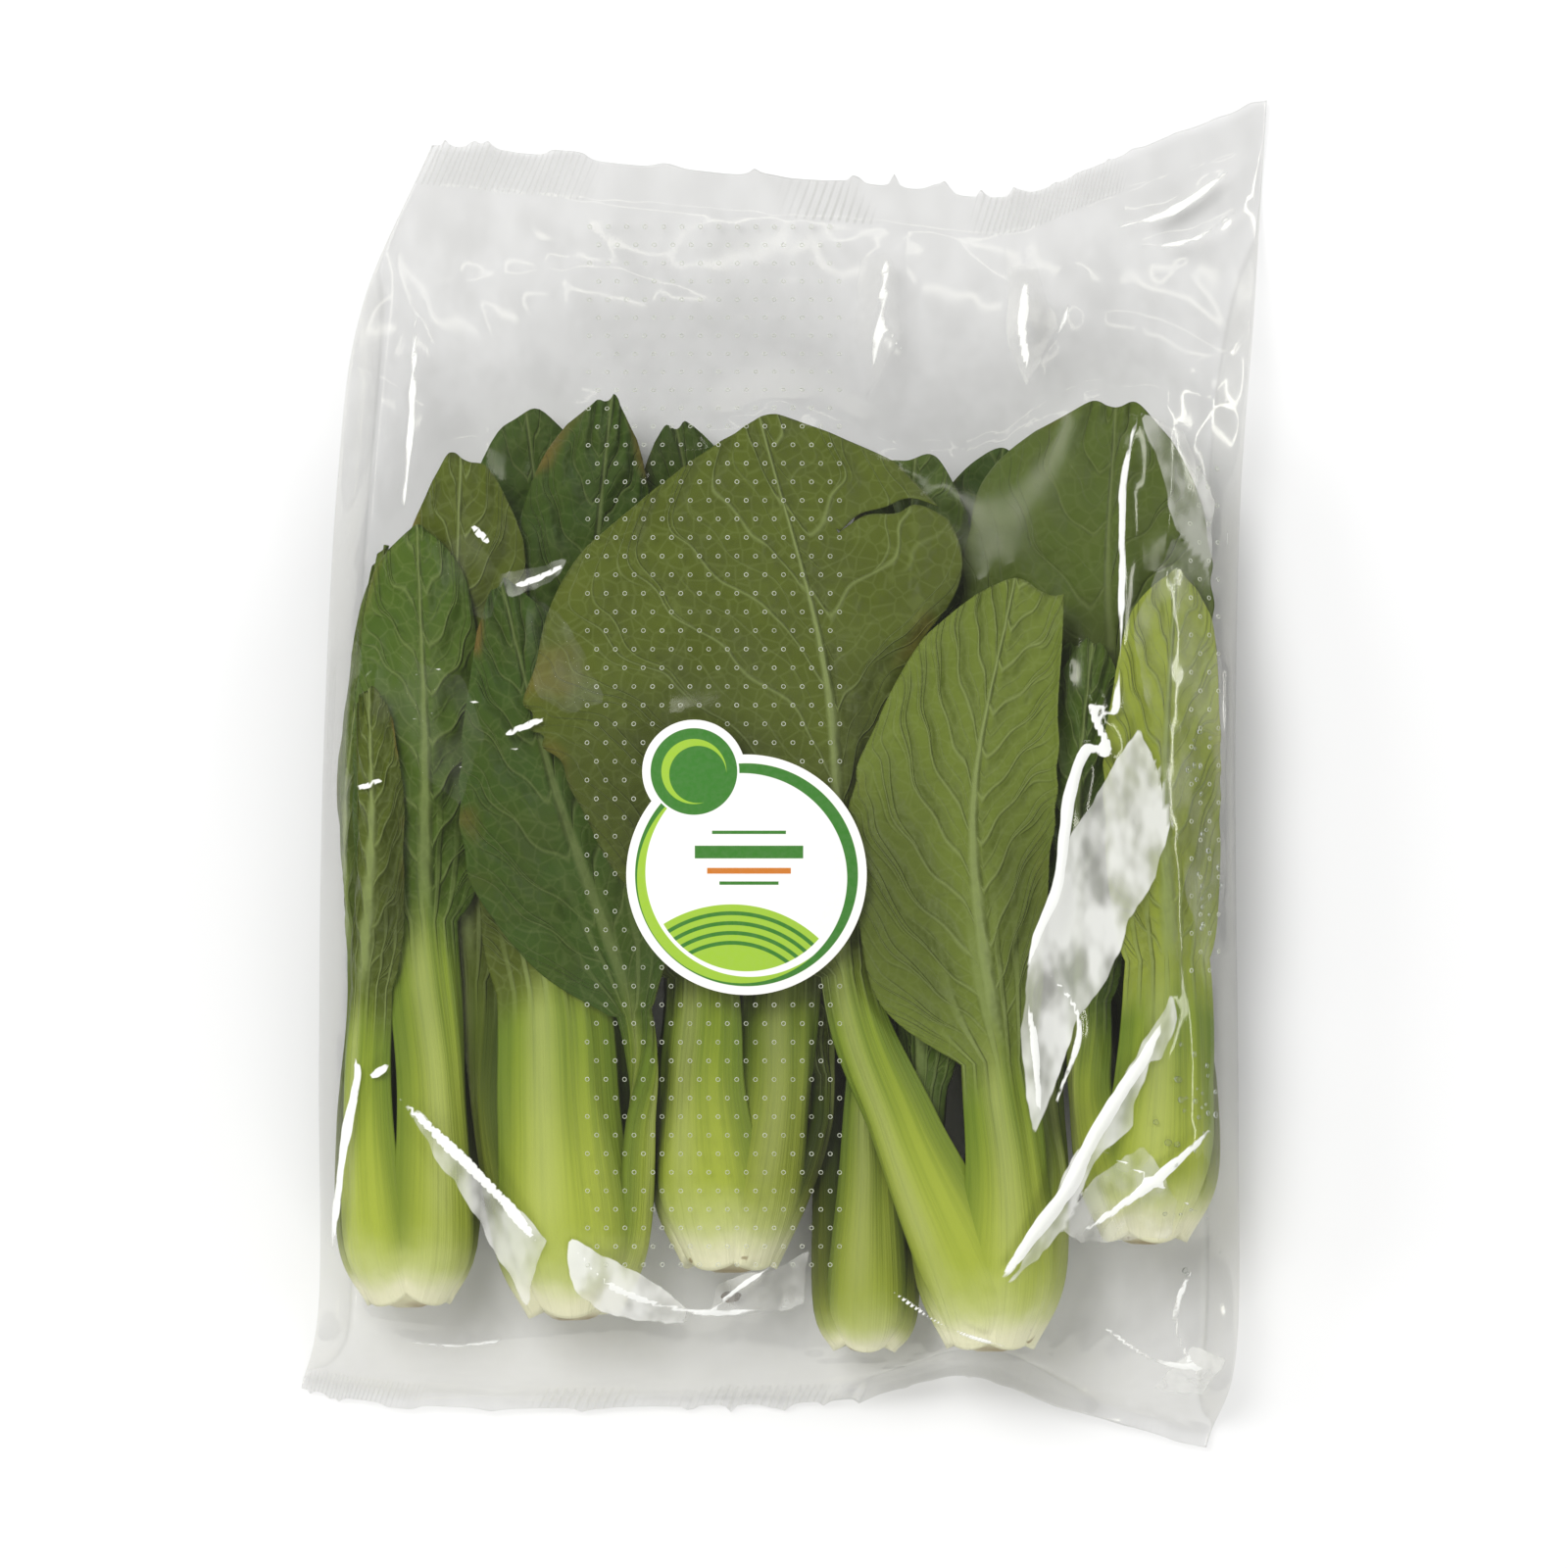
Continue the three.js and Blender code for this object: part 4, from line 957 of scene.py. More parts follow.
def all_veins(tree, place, wide, along, side):
    """The side veins with the midrib and the strands that fan out of the stalk into the blade."""
    across = tree.size(tree.mask("across"))
    rib = tree.span(across, tree.span(along, 0.6, 0.95, 2.3, 0.6), tree.span(along, 0.6, 0.95, 0.6, 0.0))
    veins = tree.times(tree.most(side_veins(tree, place, side), rib), tree.span(along, 0.6, 0.66))
    fan = tree.math("SINE", tree.times(wide, 44.0))
    fan = tree.times(tree.span(fan, 0.2, 0.95), tree.span(along, 0.78, 0.62), tree.span(across, 13.0, 4.0))
    return tree.most(veins, tree.times(fan, 0.75))


def blade_colour(tree, looks, place, inside, patches, veins):
    """The blade's two sides, from pale over olive to deep green, with veins and ageing margins."""
    tone = tree.mask("tone")
    back = tree.blend(tree.span(tone, 0.1, -0.6), looks.back, looks.back_olive)
    back = tree.blend(tree.span(tone, 0.0, 1.0, 0.0, 0.8), back, looks.inside)
    back = tree.blend(tree.span(tone, -0.8, -1.6, 0.0, 0.6), back, looks.stalk_low)
    back = tree.blend(tree.times(patches, 0.16), back, [c * 1.2 for c in looks.back_olive])
    front = tree.blend(tree.times(patches, 0.35), looks.inside, looks.back)
    front = tree.blend(tree.span(tone, 0.0, -1.0, 0.0, 0.75), front, looks.back_olive)
    colour = tree.blend(inside, back, front)
    net = tree.group(net_group(), Vector=place, Scale=300.0, Width=0.1)
    colour = tree.blend(tree.times(net, 0.13), colour, looks.veins)
    shown = tree.span(tree.most(inside, tone), 0.0, 1.0, 0.74, 0.48)
    colour = tree.blend(tree.times(veins, shown), colour, looks.veins)
    old = tree.times(tree.mask("autumn"), tree.span(tree.noise(place, 38.0, 2.0), 0.5, 0.6))
    return tree.blend(tree.times(old, 0.75), colour, looks.autumn)


def stalk_colour(tree, looks, fibres, patches, wide, along, side):
    """The stalk, from its pale foot to the collar, with streaks, painted shade along its margins and a
    painted highlight band beside its middle.
    """
    colour = tree.blend(tree.span(along, 0.56, 0.26), looks.stalk_high, looks.stalk_low)
    # Painted shade: the stalk's rounded margins are darkened towards deep green, as if turned from the light
    edge = tree.times(tree.span(side, 0.42, 0.95), tree.span(along, 0.08, 0.24))
    colour = tree.blend(tree.times(edge, 0.62), colour, looks.edge_shade_and_streaks)
    streak = tree.times(tree.span(fibres, 0.54, 0.36), tree.span(along, 0.2, 0.5, 0.06, 0.4))
    colour = tree.blend(streak, colour, looks.edge_shade_and_streaks)
    # Painted highlight: a pale band in the bulb's colour along the stalk, a little left of its middle
    band = tree.span(tree.size(tree.plus(wide, -0.4)), 0.2, 0.0)
    colour = tree.blend(tree.times(band, tree.span(along, 0.14, 0.3), 0.35), colour, looks.bulb)
    foot = tree.plus(along, tree.times(patches, 0.03))
    colour = tree.blend(tree.span(foot, 0.26, 0.11), colour, looks.bulb)
    return tree.blend(tree.span(foot, 0.17, 0.05), colour, looks.heart)


# Painted shade: the near black that shaded stalks and leaf insides are darkened towards
PAINTED_GAP_SHADE = (0.006, 0.011, 0.003)  # the near black between stalks


def greens_material(looks):
    material, tree, shader = new_material("bok_choy_greens")
    place, guide = tree.place(), tree.guide()
    wide, along = tree.parts(guide)
    side = tree.size(tree.math("MULTIPLY_ADD", wide, 2.0, -1.0))
    blade, inside = tree.mask("blade"), tree.mask("inside")
    patches = tree.group(mottle_group(), Vector=place, Scale=85.0)
    fibres = tree.noise(tree.stretch(guide, (17.0, 1.1, 1.0)), 1.0, 3.0, 0.6)
    veins = all_veins(tree, place, wide, along, side)

    stalk = stalk_colour(tree, looks, fibres, patches, wide, along, side)
    colour = tree.blend(blade, stalk, blade_colour(tree, looks, place, inside, patches, veins))
    # Painted shade: low stalks, leaf insides and cupped blade bases darkened towards near black
    colour = tree.blend(tree.times(tree.mask("deep"), 0.85), colour, PAINTED_GAP_SHADE)
    specks = tree.span(tree.noise(place, 240.0, 2.0, 0.6), 0.66, 0.74)
    bruise = tree.times(specks, tree.span(along, 0.12, 0.0))
    ragged_mark = tree.times(tree.mask("cut"), tree.span(patches, 0.2, 0.8, 0.4, 1.0))
    worn = tree.math("MAXIMUM", ragged_mark, bruise, clamp=True)

    # Relief in millimetres: veins stand out on the back and sink on the inside
    ridges = tree.times(veins, blade, tree.span(inside, 0.0, 1.0, 0.5, -0.4))
    grooves = tree.times(fibres, tree.math("MULTIPLY_ADD", blade, -0.5, 0.5))
    height = tree.plus(ridges, grooves, tree.times(patches, blade, 0.8))
    tree.fill(shader, {
        "Base Color": tree.blend(tree.times(worn, 0.8), colour, looks.scar),
        "Roughness": tree.plus(tree.times(patches, 0.14), 0.4),
        "Specular IOR Level": 0.4,
        "Normal": tree.bump(height, 1.0, MM),
    })
    return material


# The film
FILM_GRID = (190, 250)
FINE_CELL = 1.5  # of the charts of the leaves' heights
MEMBRANE_PASSES = 1600
RAGGED = {"count": 34, "depth": 3.2}  # nicks along the sealed ends
SEALED = 0.12  # between the two films in a seal
HELD = (0.028, 0.962)  # the film is sealed outside these shares of its length
LABEL_SINK = 0.1  # of the film under the label
LABEL_MARGIN = 1.5  # round the label, where the film lies flat under it


def patch(u, v):
    """A point of the bag's flat outline, u across and v along."""
    low, high = through(EDGE_BOTTOM, u), through(EDGE_TOP, u)
    left, right = through(EDGE_LEFT, v), through(EDGE_RIGHT, v)
    u = u[..., None]
    v = v[..., None]
    first = mix(np.array(EDGE_BOTTOM[0]), np.array(EDGE_BOTTOM[-1]), u)
    last = mix(np.array(EDGE_TOP[0]), np.array(EDGE_TOP[-1]), u)
    return mix(low, high, v) + mix(left, right, u) - mix(first, last, v)


def soft_noise(x, y, seed):
    """Smooth noise from 0 to 1 on a unit lattice."""
    lattice = np.random.RandomState(seed).rand(64, 64)
    i = np.floor(x).astype(int)
    j = np.floor(y).astype(int)
    fx = ease(0, 1, x - i)
    fy = ease(0, 1, y - j)

    def at(m, n):
        return lattice[(j + n) % 64, (i + m) % 64]

    return mix(mix(at(0, 0), at(1, 0), fx), mix(at(0, 1), at(1, 1), fx), fy)


def folds(x, y, size, turn, stretch, seed):
    """Sharp crests from 0 to 1, size apart, drawn out along the direction turn."""
    c, s = math.cos(math.radians(turn)), math.sin(math.radians(turn))
    along = (x * c + y * s) / (size * stretch)
    across = (y * c - x * s) / size
    bend = 1.2 * soft_noise(along * 0.7, across * 0.7, seed + 1)
    value = soft_noise(along + bend, across + bend, seed)
    return (1 - np.abs(2 * value - 1)) ** 3


# Creases of the upper film: points, height, half width, and how bright the painted glint along the crest is
CREASES = [
    ([(72.4, 73.8), (69.4, 60), (69, 46), (68.8, 32.4), (68.3, 21.6)], 1.5, 4.5, 0.72),
    ([(68.3, 21.6), (67, 12.6), (62.8, 13.8), (65.8, 4.8), (61.4, 4.8), (58, -4.8), (55.8, -21.6),
      (51.4, -33), (49, -42)], 1.8, 5.0, 0.9),
    ([(49, -42), (51, -56), (52, -70)], 1.2, 4.0, 0.9),
    ([(78, 84), (79, 60), (77, 36)], 0.7, 3.0, 0.3),
    ([(-78.5, -66), (-70, -74), (-58, -86), (-49, -97)], 1.8, 4.0, 1.0),
    ([(-87.9, -57), (-87, -62.2), (-90, -77.2), (-92.5, -100)], 1.0, 3.0, 1.0),
    ([(-84.8, -62.2), (-80.4, -59.2)], 0.6, 2.0, 1.0),
    ([(79, -46), (73, -58), (64, -72), (58, -84), (50, -95), (43, -105)], 2.4, 4.5, 1.0),
    ([(60, -94), (74, -84), (90, -70)], 1.8, 4.0, 0.8),
    ([(60, -74), (74, -82), (88, -92)], 1.4, 4.0, 0.5),
    ([(50, -36), (60, -50), (55, -68)], 1.0, 3.0, 0.7),
    ([(-88, -3.4), (-81, -0.8)], 0.6, 2.0, 1.0),
    ([(-57, 8), (-47, 12)], 0.6, 2.0, 0.9),
    ([(-56, 38), (-50, 40), (-44, 43)], 0.7, 2.2, 1.0),
    ([(-64, 51), (-60, 47)], 0.5, 2.0, 0.8),
    ([(-75.5, 97), (-76, 84), (-76.5, 70), (-78, 53)], 0.9, 3.0, 0.62),
    ([(-84, 18), (-72, 21), (-56, 24)], 0.5, 2.2, 0.3),
    ([(-82, 9), (-66, 14), (-50, 17)], 0.5, 2.2, 0.35),
    ([(-78, -3), (-64, 2), (-52, 6)], 0.6, 2.2, 0.3),
    ([(-72, 100), (-40, 104), (-12, 98)], 0.8, 5.0, 0.1),
    ([(-56, 118), (-44, 96), (-40, 76)], 0.9, 4.0, 0.1),
    ([(21, 107), (20, 94), (16.5, 78)], 2.0, 4.5, 0.6),
    ([(24, 112), (20, 96), (26, 84)], 1.1, 3.0, 0.3),
    ([(50, 103), (49, 92), (50, 82)], 1.8, 4.0, 0.8),
    ([(50, 82), (57, 92), (60, 104)], 1.4, 3.5, 0.35),
    ([(62, 118), (60, 100), (66, 84)], 1.0, 3.5, 0.25),
    ([(66, 112), (80, 116), (94, 126)], 1.2, 3.0, 0.7),
    ([(70, 108), (84, 110), (96, 118)], 1.0, 3.0, 0.6),
    ([(58, 96), (76, 94), (92, 86)], 0.8, 5.0, 0.15),
    ([(-44, -95), (-34, -105), (-16, -110), (4, -108)], 1.3, 4.0, 0.7),
    ([(-18, -112), (-8, -104), (2, -98)], 1.0, 3.0, 0.6),
    ([(20, -104), (34, -113), (50, -118)], 1.0, 3.5, 0.5),
    ([(84, -100), (80, -112), (86, -126)], 1.4, 3.5, 0.6),
    ([(64, -112), (76, -120), (88, -122)], 1.2, 3.5, 0.6),
    ([(-90, 40), (-84, 60), (-82, 84)], 0.8, 3.5, 0.3),
    ([(90, 60), (92, 20), (91, -30)], 0.8, 3.0, 0.4),
    ([(-90, -112), (-70, -117), (-48, -114)], 1.0, 3.5, 0.4),
]

# Painted sheen: milky white painted where folded, crumpled film throws back light, as outlines with a
# strength
MILKY_SHEEN = [
    ([(72.4, 9), (76, 1.2), (78.2, -10.8), (76, -20.4), (70, -30), (65.8, -42), (59.4, -50.4), (55, -63),
      (50.8, -73.6), (49.8, -66.8), (47.8, -52.4), (49, -42), (53.2, -27.6), (58, -13.2), (62.2, -6),
      (68.2, 3.6)], 0.78),
    ([(79, -44.2), (80.2, -49.6), (77.2, -58.4), (74.2, -58.2), (71.8, -66.8), (71.2, -72), (65.2, -76.4),
      (60.8, -83.2), (57.2, -91.8), (51.6, -99.4), (45, -104.2), (50.2, -96.6), (54.6, -86), (59.8, -76.4),
      (65.6, -69.6), (70, -61), (73.2, -53.8), (76.6, -48.6)], 0.74),
    ([(73.2, -75.4), (80.4, -87), (79, -94.6), (60.8, -95.6), (57.2, -92.8), (63.6, -82.2)], 0.4),
    ([(83.8, -117.6), (91.6, -119.6), (85.8, -127.2), (75.2, -126.4)], 0.55),
    ([(-78.6, -65.6), (-72.5, -70.2), (-64.6, -79), (-57.5, -86), (-48.3, -94.8), (-51.4, -103.6),
      (-52.2, -108.4), (-59.3, -96.6), (-64.6, -86.9), (-70.7, -79), (-76.9, -68.4)], 0.62),
    ([(-43.4, -94.8), (-36.4, -98.3), (-27.6, -102.7), (-19.7, -108.9), (-18.8, -112.4), (-29.4, -111.5),
      (-36.4, -109.8), (-41.7, -107.1), (-43.4, -101.8)], 0.78),
    ([(-14, -104), (-2, -101), (5, -97), (4, -108), (-6, -111), (-15, -110)], 0.4),
    ([(46, 104), (52, 106), (56, 92), (50, 80), (46, 88)], 0.3),
    ([(16, 106), (22, 108), (24, 92), (17, 76), (14, 90)], 0.22),
    ([(-52, 37), (-46, 33), (-40, 24), (-37, 15), (-44, 12), (-50, 16), (-53, 26)], 0.17),
    ([(-82, 31), (-74, 22), (-66, 20), (-61, 8), (-66, -6), (-76, 2), (-84, 10)], 0.14),
    ([(-72, 47), (-64, 49), (-57, 40), (-60, 32), (-68, 33)], 0.14),
    ([(73, 74), (82, 70), (88, 56), (87, 42), (80, 50), (77, 62)], 0.46),
    ([(80, 49), (87, 41), (90, 12), (90, -24), (86, -40), (79, -10), (74, 14), (71, 30)], 0.24),
    ([(-58, 41), (-44, 44), (-47, 39), (-56, 36)], 0.35),
]
CREST_REACH = 3
# Painted highlight: the width of the white glint painted along a crest
CREST_WIDTH = 0.45  # of a shining crest a millimetre high


def off_line(x, y, a, b):
    """How far each point is from the line from a to b, and what share of the line lies before it."""
    dx, dy = b[0] - a[0], b[1] - a[1]
    f = np.clip(((x - a[0]) * dx + (y - a[1]) * dy) / (dx * dx + dy * dy), 0, 1)
    return np.hypot(x - a[0] - f * dx, y - a[1] - f * dy), f


def crease_relief(x, y):
    """The height of the creases, and how near the painted glint along a crest is, from 0 to 1."""
    total = np.zeros_like(x)
    crest = np.zeros_like(x)
    for line, height, width, shine in CREASES:
        points = through(line, np.linspace(0, 1, 10 * len(line)))
        best = np.full(x.shape, 1e9)
        place = np.zeros_like(x)
        for k, (a, b) in enumerate(zip(points, points[1:])):
            away, f = off_line(x, y, a, b)
            place = np.where(away < best, (k + f) / (len(points) - 1), place)
            best = np.minimum(best, away)
        taper = np.sqrt(np.clip(4 * place * (1 - place), 0, 1))
        rough = 0.75 + 0.5 * soft_noise(x / 7, y / 7, len(line))
        total += height * np.clip(1 - best / (width * rough), 0, 1) ** 1.5 * taper
        away = np.maximum(0, best - CREST_WIDTH * height * shine * taper * rough)
        crest = np.maximum(crest, np.clip(1 - away / CREST_REACH, 0, 1) * (0.72 + 0.28 * shine * taper))
    return total, crest


def milky(x, y):
    """Painted sheen patches: a field of 0.5 on their outlines and 1 well inside, and the nearest one's
    strength.
    """
    field = np.zeros_like(x)
    strongest = np.zeros_like(x)
    for corners, strength in MILKY_SHEEN:
        inside = np.zeros(x.shape, bool)
        best = np.full(x.shape, 1e9)
        for a, b in zip(corners, corners[1:] + corners[:1]):
            best = np.minimum(best, off_line(x, y, a, b)[0])
            crosses = (a[1] > y) != (b[1] > y)
            at = a[0] + (y - a[1]) / (b[1] - a[1] or 1) * (b[0] - a[0])
            inside ^= crosses & (x < at)
        own = np.clip(0.5 + np.where(inside, best, -best) / (2 * CREST_REACH), 0, 1)
        strongest = np.where(own > field, strength, strongest)
        field = np.maximum(field, own)
    return field, strongest


def leaf_heights(x, y):
    """The height of the highest and of the lowest leaf near each point, -1 and 99 where there is none."""
    width, depth = (int(2 * size / FINE_CELL) for size in CHART_SIZE)
    highest = np.full((depth, width), -1.0)
    lowest = np.full((depth, width), 99.0)

    def cell(x, y):
        return [((value - corner) / FINE_CELL).astype(int) for value, corner in zip((x, y), CHART_CORNER)]

    def widened(chart, pick):
        padded = np.pad(chart, 1, mode="edge")
        near = [padded[m:m + depth, n:n + width] for m in range(3) for n in range(3)]
        return pick(near, axis=0)

    for head in HEADS:
        points = places_of(bpy.data.objects[head["name"] + "_leaves"].data) / MM
        i, j = cell(points[:, 0], points[:, 1])
        np.maximum.at(highest, (j, i), points[:, 2])
        np.minimum.at(lowest, (j, i), points[:, 2])
    i, j = cell(x, y)
    place = np.clip(j, 0, depth - 1), np.clip(i, 0, width - 1)
    return widened(highest, np.max)[place], widened(widened(lowest, np.min), np.min)[place]


def lower_film(x, u, v, room):
    """The film's back: flat, with its sides rolled up, one end lifted and waves along the seals."""
    inward = np.minimum(x - x[:, :1], x[:, -1:] - x)
    fold = SIDE_FOLD["height"] * ease(SEAL["lower"], 0.14, v) * (1 - ease(0.72, 0.94, v))
    side_rise = np.clip(1 - inward / SIDE_FOLD["roll"], 0, 1) ** SIDE_FOLD["power"] * fold
    hump = np.exp(-(((x - LIFTED_SEAL["x"]) / LIFTED_SEAL["spread"]) ** 2))
    end_rise = LIFTED_SEAL["height"] * hump * np.clip(1 - v / 0.07, 0, 1) ** 1.5
    sealed = np.maximum(1 - ease(0, 0.06, v), ease(0.9, 1, v))
    rise = side_rise + end_rise + SEAL["wave"] * sealed * (1 + np.sin(7 * u + 2 * v))
    return np.where((u > 0) & (u < 1), np.clip(rise, 0, np.maximum(0, room)), rise)


def wrinkles(x, y, v, slack, empty):
    """Small sharp folds in slack film, larger where it is empty, and pleats beside the seals."""
    small = folds(x, y, 9, 70, 2.6, 11) * 0.7 + folds(x, y, 14, 110, 2.2, 23) * 1.1
    small += folds(x, y, 22, -18, 3.0, 37) * empty * ease(0.96, 0.8, v) * 1.6
    ends = np.exp(-np.maximum(v - 0.03, 0) / 0.05) + np.exp(-np.maximum(HELD[1] - v, 0) / 0.06)
    pleats = (0.5 + 0.5 * np.sin(x * 0.9 + 4 * soft_noise(x / 12, y / 12, 5))) * ends * 0.7
    return slack * (small + pleats)


@lru_cache
def film_sheets():
    """The lower and upper film as grids of points, with masks of seals, slack, the painted glints along the
    creases and the patches of painted sheen.
    """
    columns, rows = FILM_GRID
    u, v = np.meshgrid(np.linspace(0, 1, columns + 1), np.linspace(0, 1, rows + 1))
    x, y = np.moveaxis(patch(u, v), -1, 0)
    nicks = (1 - np.abs(2 * soft_noise(RAGGED["count"] * u, 0 * u, 7) - 1)) ** 4 * soft_noise(9 * u, 0 * u, 3)
    y = y + RAGGED["depth"] * nicks * (ease(0.95, 1, v) - 0.6 * ease(0.05, 0, v))

    gap = bpy.context.scene.film_looks.gap / MM
    top, low = leaf_heights(x, y)
    floor = lower_film(x, u, v, low - gap)
    fixed = (v < HELD[0]) | (v > HELD[1]) | (u <= 0) | (u >= 1)
    under = near_label(x, y, LABEL_MARGIN)
    rest = np.maximum(floor + SEALED, np.where(top > 0, top + gap, 0))
    rest = np.where(under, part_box("label")[0].z / MM - LABEL_SINK, rest)
    rest = np.where(fixed, floor + SEALED, rest)
    sheet = rest
    for _ in range(MEMBRANE_PASSES):
        mean = sheet.copy()
        mean[1:-1, 1:-1] = (sheet[:-2, 1:-1] + sheet[2:, 1:-1] + sheet[1:-1, :-2] + sheet[1:-1, 2:]) / 4
        sheet = np.where(fixed | under, sheet, np.maximum(rest, mean))

    loose = ease(0.3, 3, sheet - np.where(top > 0, top, floor))
    empty = np.where(top > 0, 0, 1)
    slack = blur(np.clip(0.06 + 0.25 * loose + 0.4 * empty, 0, 1), 6)
    free = np.where(under | fixed, 0, 1).astype(float)
    free = blur(free, 2) * free
    raised, crest = crease_relief(x, y)
    sheet = sheet + (raised + wrinkles(x, y, v, slack, empty)) * free
    band = np.maximum(ease(0.048, 0.044, v), ease(0.956, 0.96, v))
    field, strength = milky(x, y)
    # Masks for the painted highlights: glints along the crests and patches of milky sheen
    masks = {"seal": band, "crest": crest * free, "slack": slack, "milky": field * free, "milk": strength}
    return {"x": x, "y": y, "u": u, "v": v, "lower": floor, "upper": sheet, "masks": masks}


def tab_centre():
    turn = math.radians(LABEL_TAB["angle"])
    reach = LABEL_TAB["reach"]
    return LABEL["x"] + reach * math.cos(turn), LABEL["y"] + reach * math.sin(turn)


def near_label(x, y, margin):
    """Whether each point is on the label or its tab, or less than margin from it."""
    tab = tab_centre()
    on_round = np.hypot(x - LABEL["x"], y - LABEL["y"]) < LABEL["radius"] + margin
    return on_round | (np.hypot(x - tab[0], y - tab[1]) < LABEL_TAB["radius"] + margin)


def make_film(material):
    """The bag as one closed skin: the lower film's grid, grown into the upper one."""
    columns, rows = FILM_GRID
    bm = bmesh.new()
    doubled(bm, flat_grid(bm, columns, rows), (0, 0, 1))
    mesh = new_piece("bag_film", bm, material, "film", "bag").data
    flat = places_of(mesh)
    i = np.rint((flat[:, 0] + 1) / 2 * columns).astype(int)
    j = np.rint((flat[:, 1] + 1) / 2 * rows).astype(int)
    upper = flat[:, 2] > 0.5
    sheets = film_sheets()
    z = np.where(upper, sheets["upper"][j, i], sheets["lower"][j, i])
    points = np.stack([sheets["x"][j, i], sheets["y"][j, i], z], axis=-1)
    mesh.vertices.foreach_set("co", (points * MM).ravel())
    for name, values in sheets["masks"].items():
        keep_mask(mesh, name, values[j, i])
    keep_mask(mesh, "upper", upper)
    corner_places(mesh, np.stack([sheets["u"][j, i], sheets["v"][j, i]], axis=-1))
    face_out(mesh)


def film_material(looks):
    """Clear film as a metallic skin that shows what is below it, with painted white glints along its crests
    and patches of painted milky sheen.
    """
    material, tree, shader = new_material("clear_film")
    place = tree.place()
    seal, slack, upper = tree.mask("seal"), tree.mask("slack"), tree.mask("upper")
    rough = tree.noise(tree.stretch(place, (1.0, 0.5, 1.0), turn=0.5), 150.0, 2.0, 0.55)
    ticks = tree.math("SINE", tree.times(tree.parts(tree.guide())[0], 900.0))
    worn = tree.span(tree.noise(place, 26.0, 1.0), 0.42, 0.62, 0.15, 1.0)
    ticks = tree.times(tree.span(ticks, -0.4, 0.9), seal, worn)

    # Painted highlight: white glints along the crests, and painted sheen in ragged milky patches
    crest = tree.math("MULTIPLY_ADD", rough, 0.4, tree.plus(tree.mask("crest"), -0.2))
    ragged_mark = tree.math("MULTIPLY_ADD", rough, 0.5, tree.plus(tree.mask("milky"), -0.25))
    crumpled_sheen = tree.times(tree.span(ragged_mark, 0.45, 0.52), tree.mask("milk"))
    milk = tree.times(crumpled_sheen, tree.span(rough, 0.32, 0.62, 0.5, 1.0))
    # Painted white, opaque and not metallic, where the glints and sheen are, with a little on the seal's
    # crimp ticks
    white = tree.times(tree.most(tree.times(tree.span(crest, 0.78, 0.86), 0.92), milk), upper)
    white = tree.most(white, tree.times(ticks, 0.2))

    edge_on = tree.node("Fresnel", {"IOR": 1.5}).outputs[0]
    hazy = tree.times(slack, upper, tree.span(rough, 0.3, 0.7, 0.03, 0.15))
    clear = tree.math("MINIMUM", tree.plus(edge_on, tree.plus(hazy, looks.veil)), 0.24)
    dull = tree.math("MULTIPLY_ADD", slack, 0.09, looks.gloss)
    tree.fill(shader, {
        "Base Color": tree.blend(white, looks.tint, looks.milk),
        "Metallic": tree.span(white, 0.05, 0.4, 1.0, 0.0),
        "Roughness": tree.math("MULTIPLY_ADD", white, 0.3, dull),
        "Alpha": tree.most(clear, white),
    })
    return material


# Rows of vents, in the strip over the middle and in a column at the right
VENT_STRIP = {"x": (-40, 11), "y": (-100, 118)}
VENT_COLUMN = {"x": (83, 89), "y": (-40, 68)}
RIM_SIDES = 8
RIM_SHARE = 0.26  # of a vent's radius
VENT_MARGIN = 1  # between the label and the vents
PROBE_HEIGHT = 0.2


def film_probe():
    bm = bmesh.new()
    bm.from_mesh(bpy.data.objects["bag_film"].data)
    probe = BVHTree.FromBMesh(bm)
    bm.free()
    return probe


def rest_on(probe, x, y):
    """Where the upper film is at x, y (mm), and the way that it faces there."""
    return probe.ray_cast(Vector((x * MM, y * MM, PROBE_HEIGHT)), Vector((0, 0, -1)))[:2]


def facing(normal):
    return normal.to_track_quat("Z", "Y").to_matrix().to_4x4()


def vent_places(pitch):
    """The rows of vents, every second one shifted by half the pitch."""
    for area in (VENT_STRIP, VENT_COLUMN):
        (left, right), (low, high) = area["x"], area["y"]
        for row in range(int((high - low) / pitch)):
            for column in range(int((right - left) / pitch) + 1):
                x = left + pitch * (column + 0.5 * (row % 2))
                y = low + pitch * row
                if not near_label(x, y, VENT_MARGIN):
                    yield x, y


def make_vents(looks, material):
    """The melted rims of the vents, each a small ring lying in the film."""
    ring = bmesh.new()
    radius = looks.vent_radius
    thick = RIM_SHARE * radius
    upright = Matrix.Translation((radius, 0, 0)) @ Matrix.Rotation(math.pi / 2, 4, "X")
    bmesh.ops.create_circle(ring, segments=3, radius=thick, matrix=upright)
    rim = spun(ring, (0, 0, 0), (0, 0, 1), RIM_SIDES, 1e-6)
    probe = film_probe()
    bm = bmesh.new()
    for x, y in vent_places(looks.vent_pitch / MM):
        at, normal = rest_on(probe, x, y)
        if at is None:
            continue
        move = Matrix.Translation(at + normal * 0.3 * thick) @ facing(normal)
        rim.transform(move)
        bm.from_mesh(rim)
        rim.transform(move.inverted())
    bpy.data.meshes.remove(rim)
    new_piece("vent_rims", bm, material, "film")


def rim_material():
    material, tree, shader = new_material("melted_rim")
    patches = tree.group(mottle_group(), Vector=tree.place(), Scale=500.0)
    tree.fill(shader, {
        "Base Color": tree.blend(patches, paint("#e4e8d6"), paint("#f4f7ea")),
        "Alpha": tree.plus(tree.times(patches, 0.3), 0.36),
        "Roughness": 0.3,
    })
    return material


# The label
LABEL_THICKNESS = 0.22
LABEL_BEVEL = 0.08
ARC_STEPS = 128
INK_SOFTNESS = 0.06


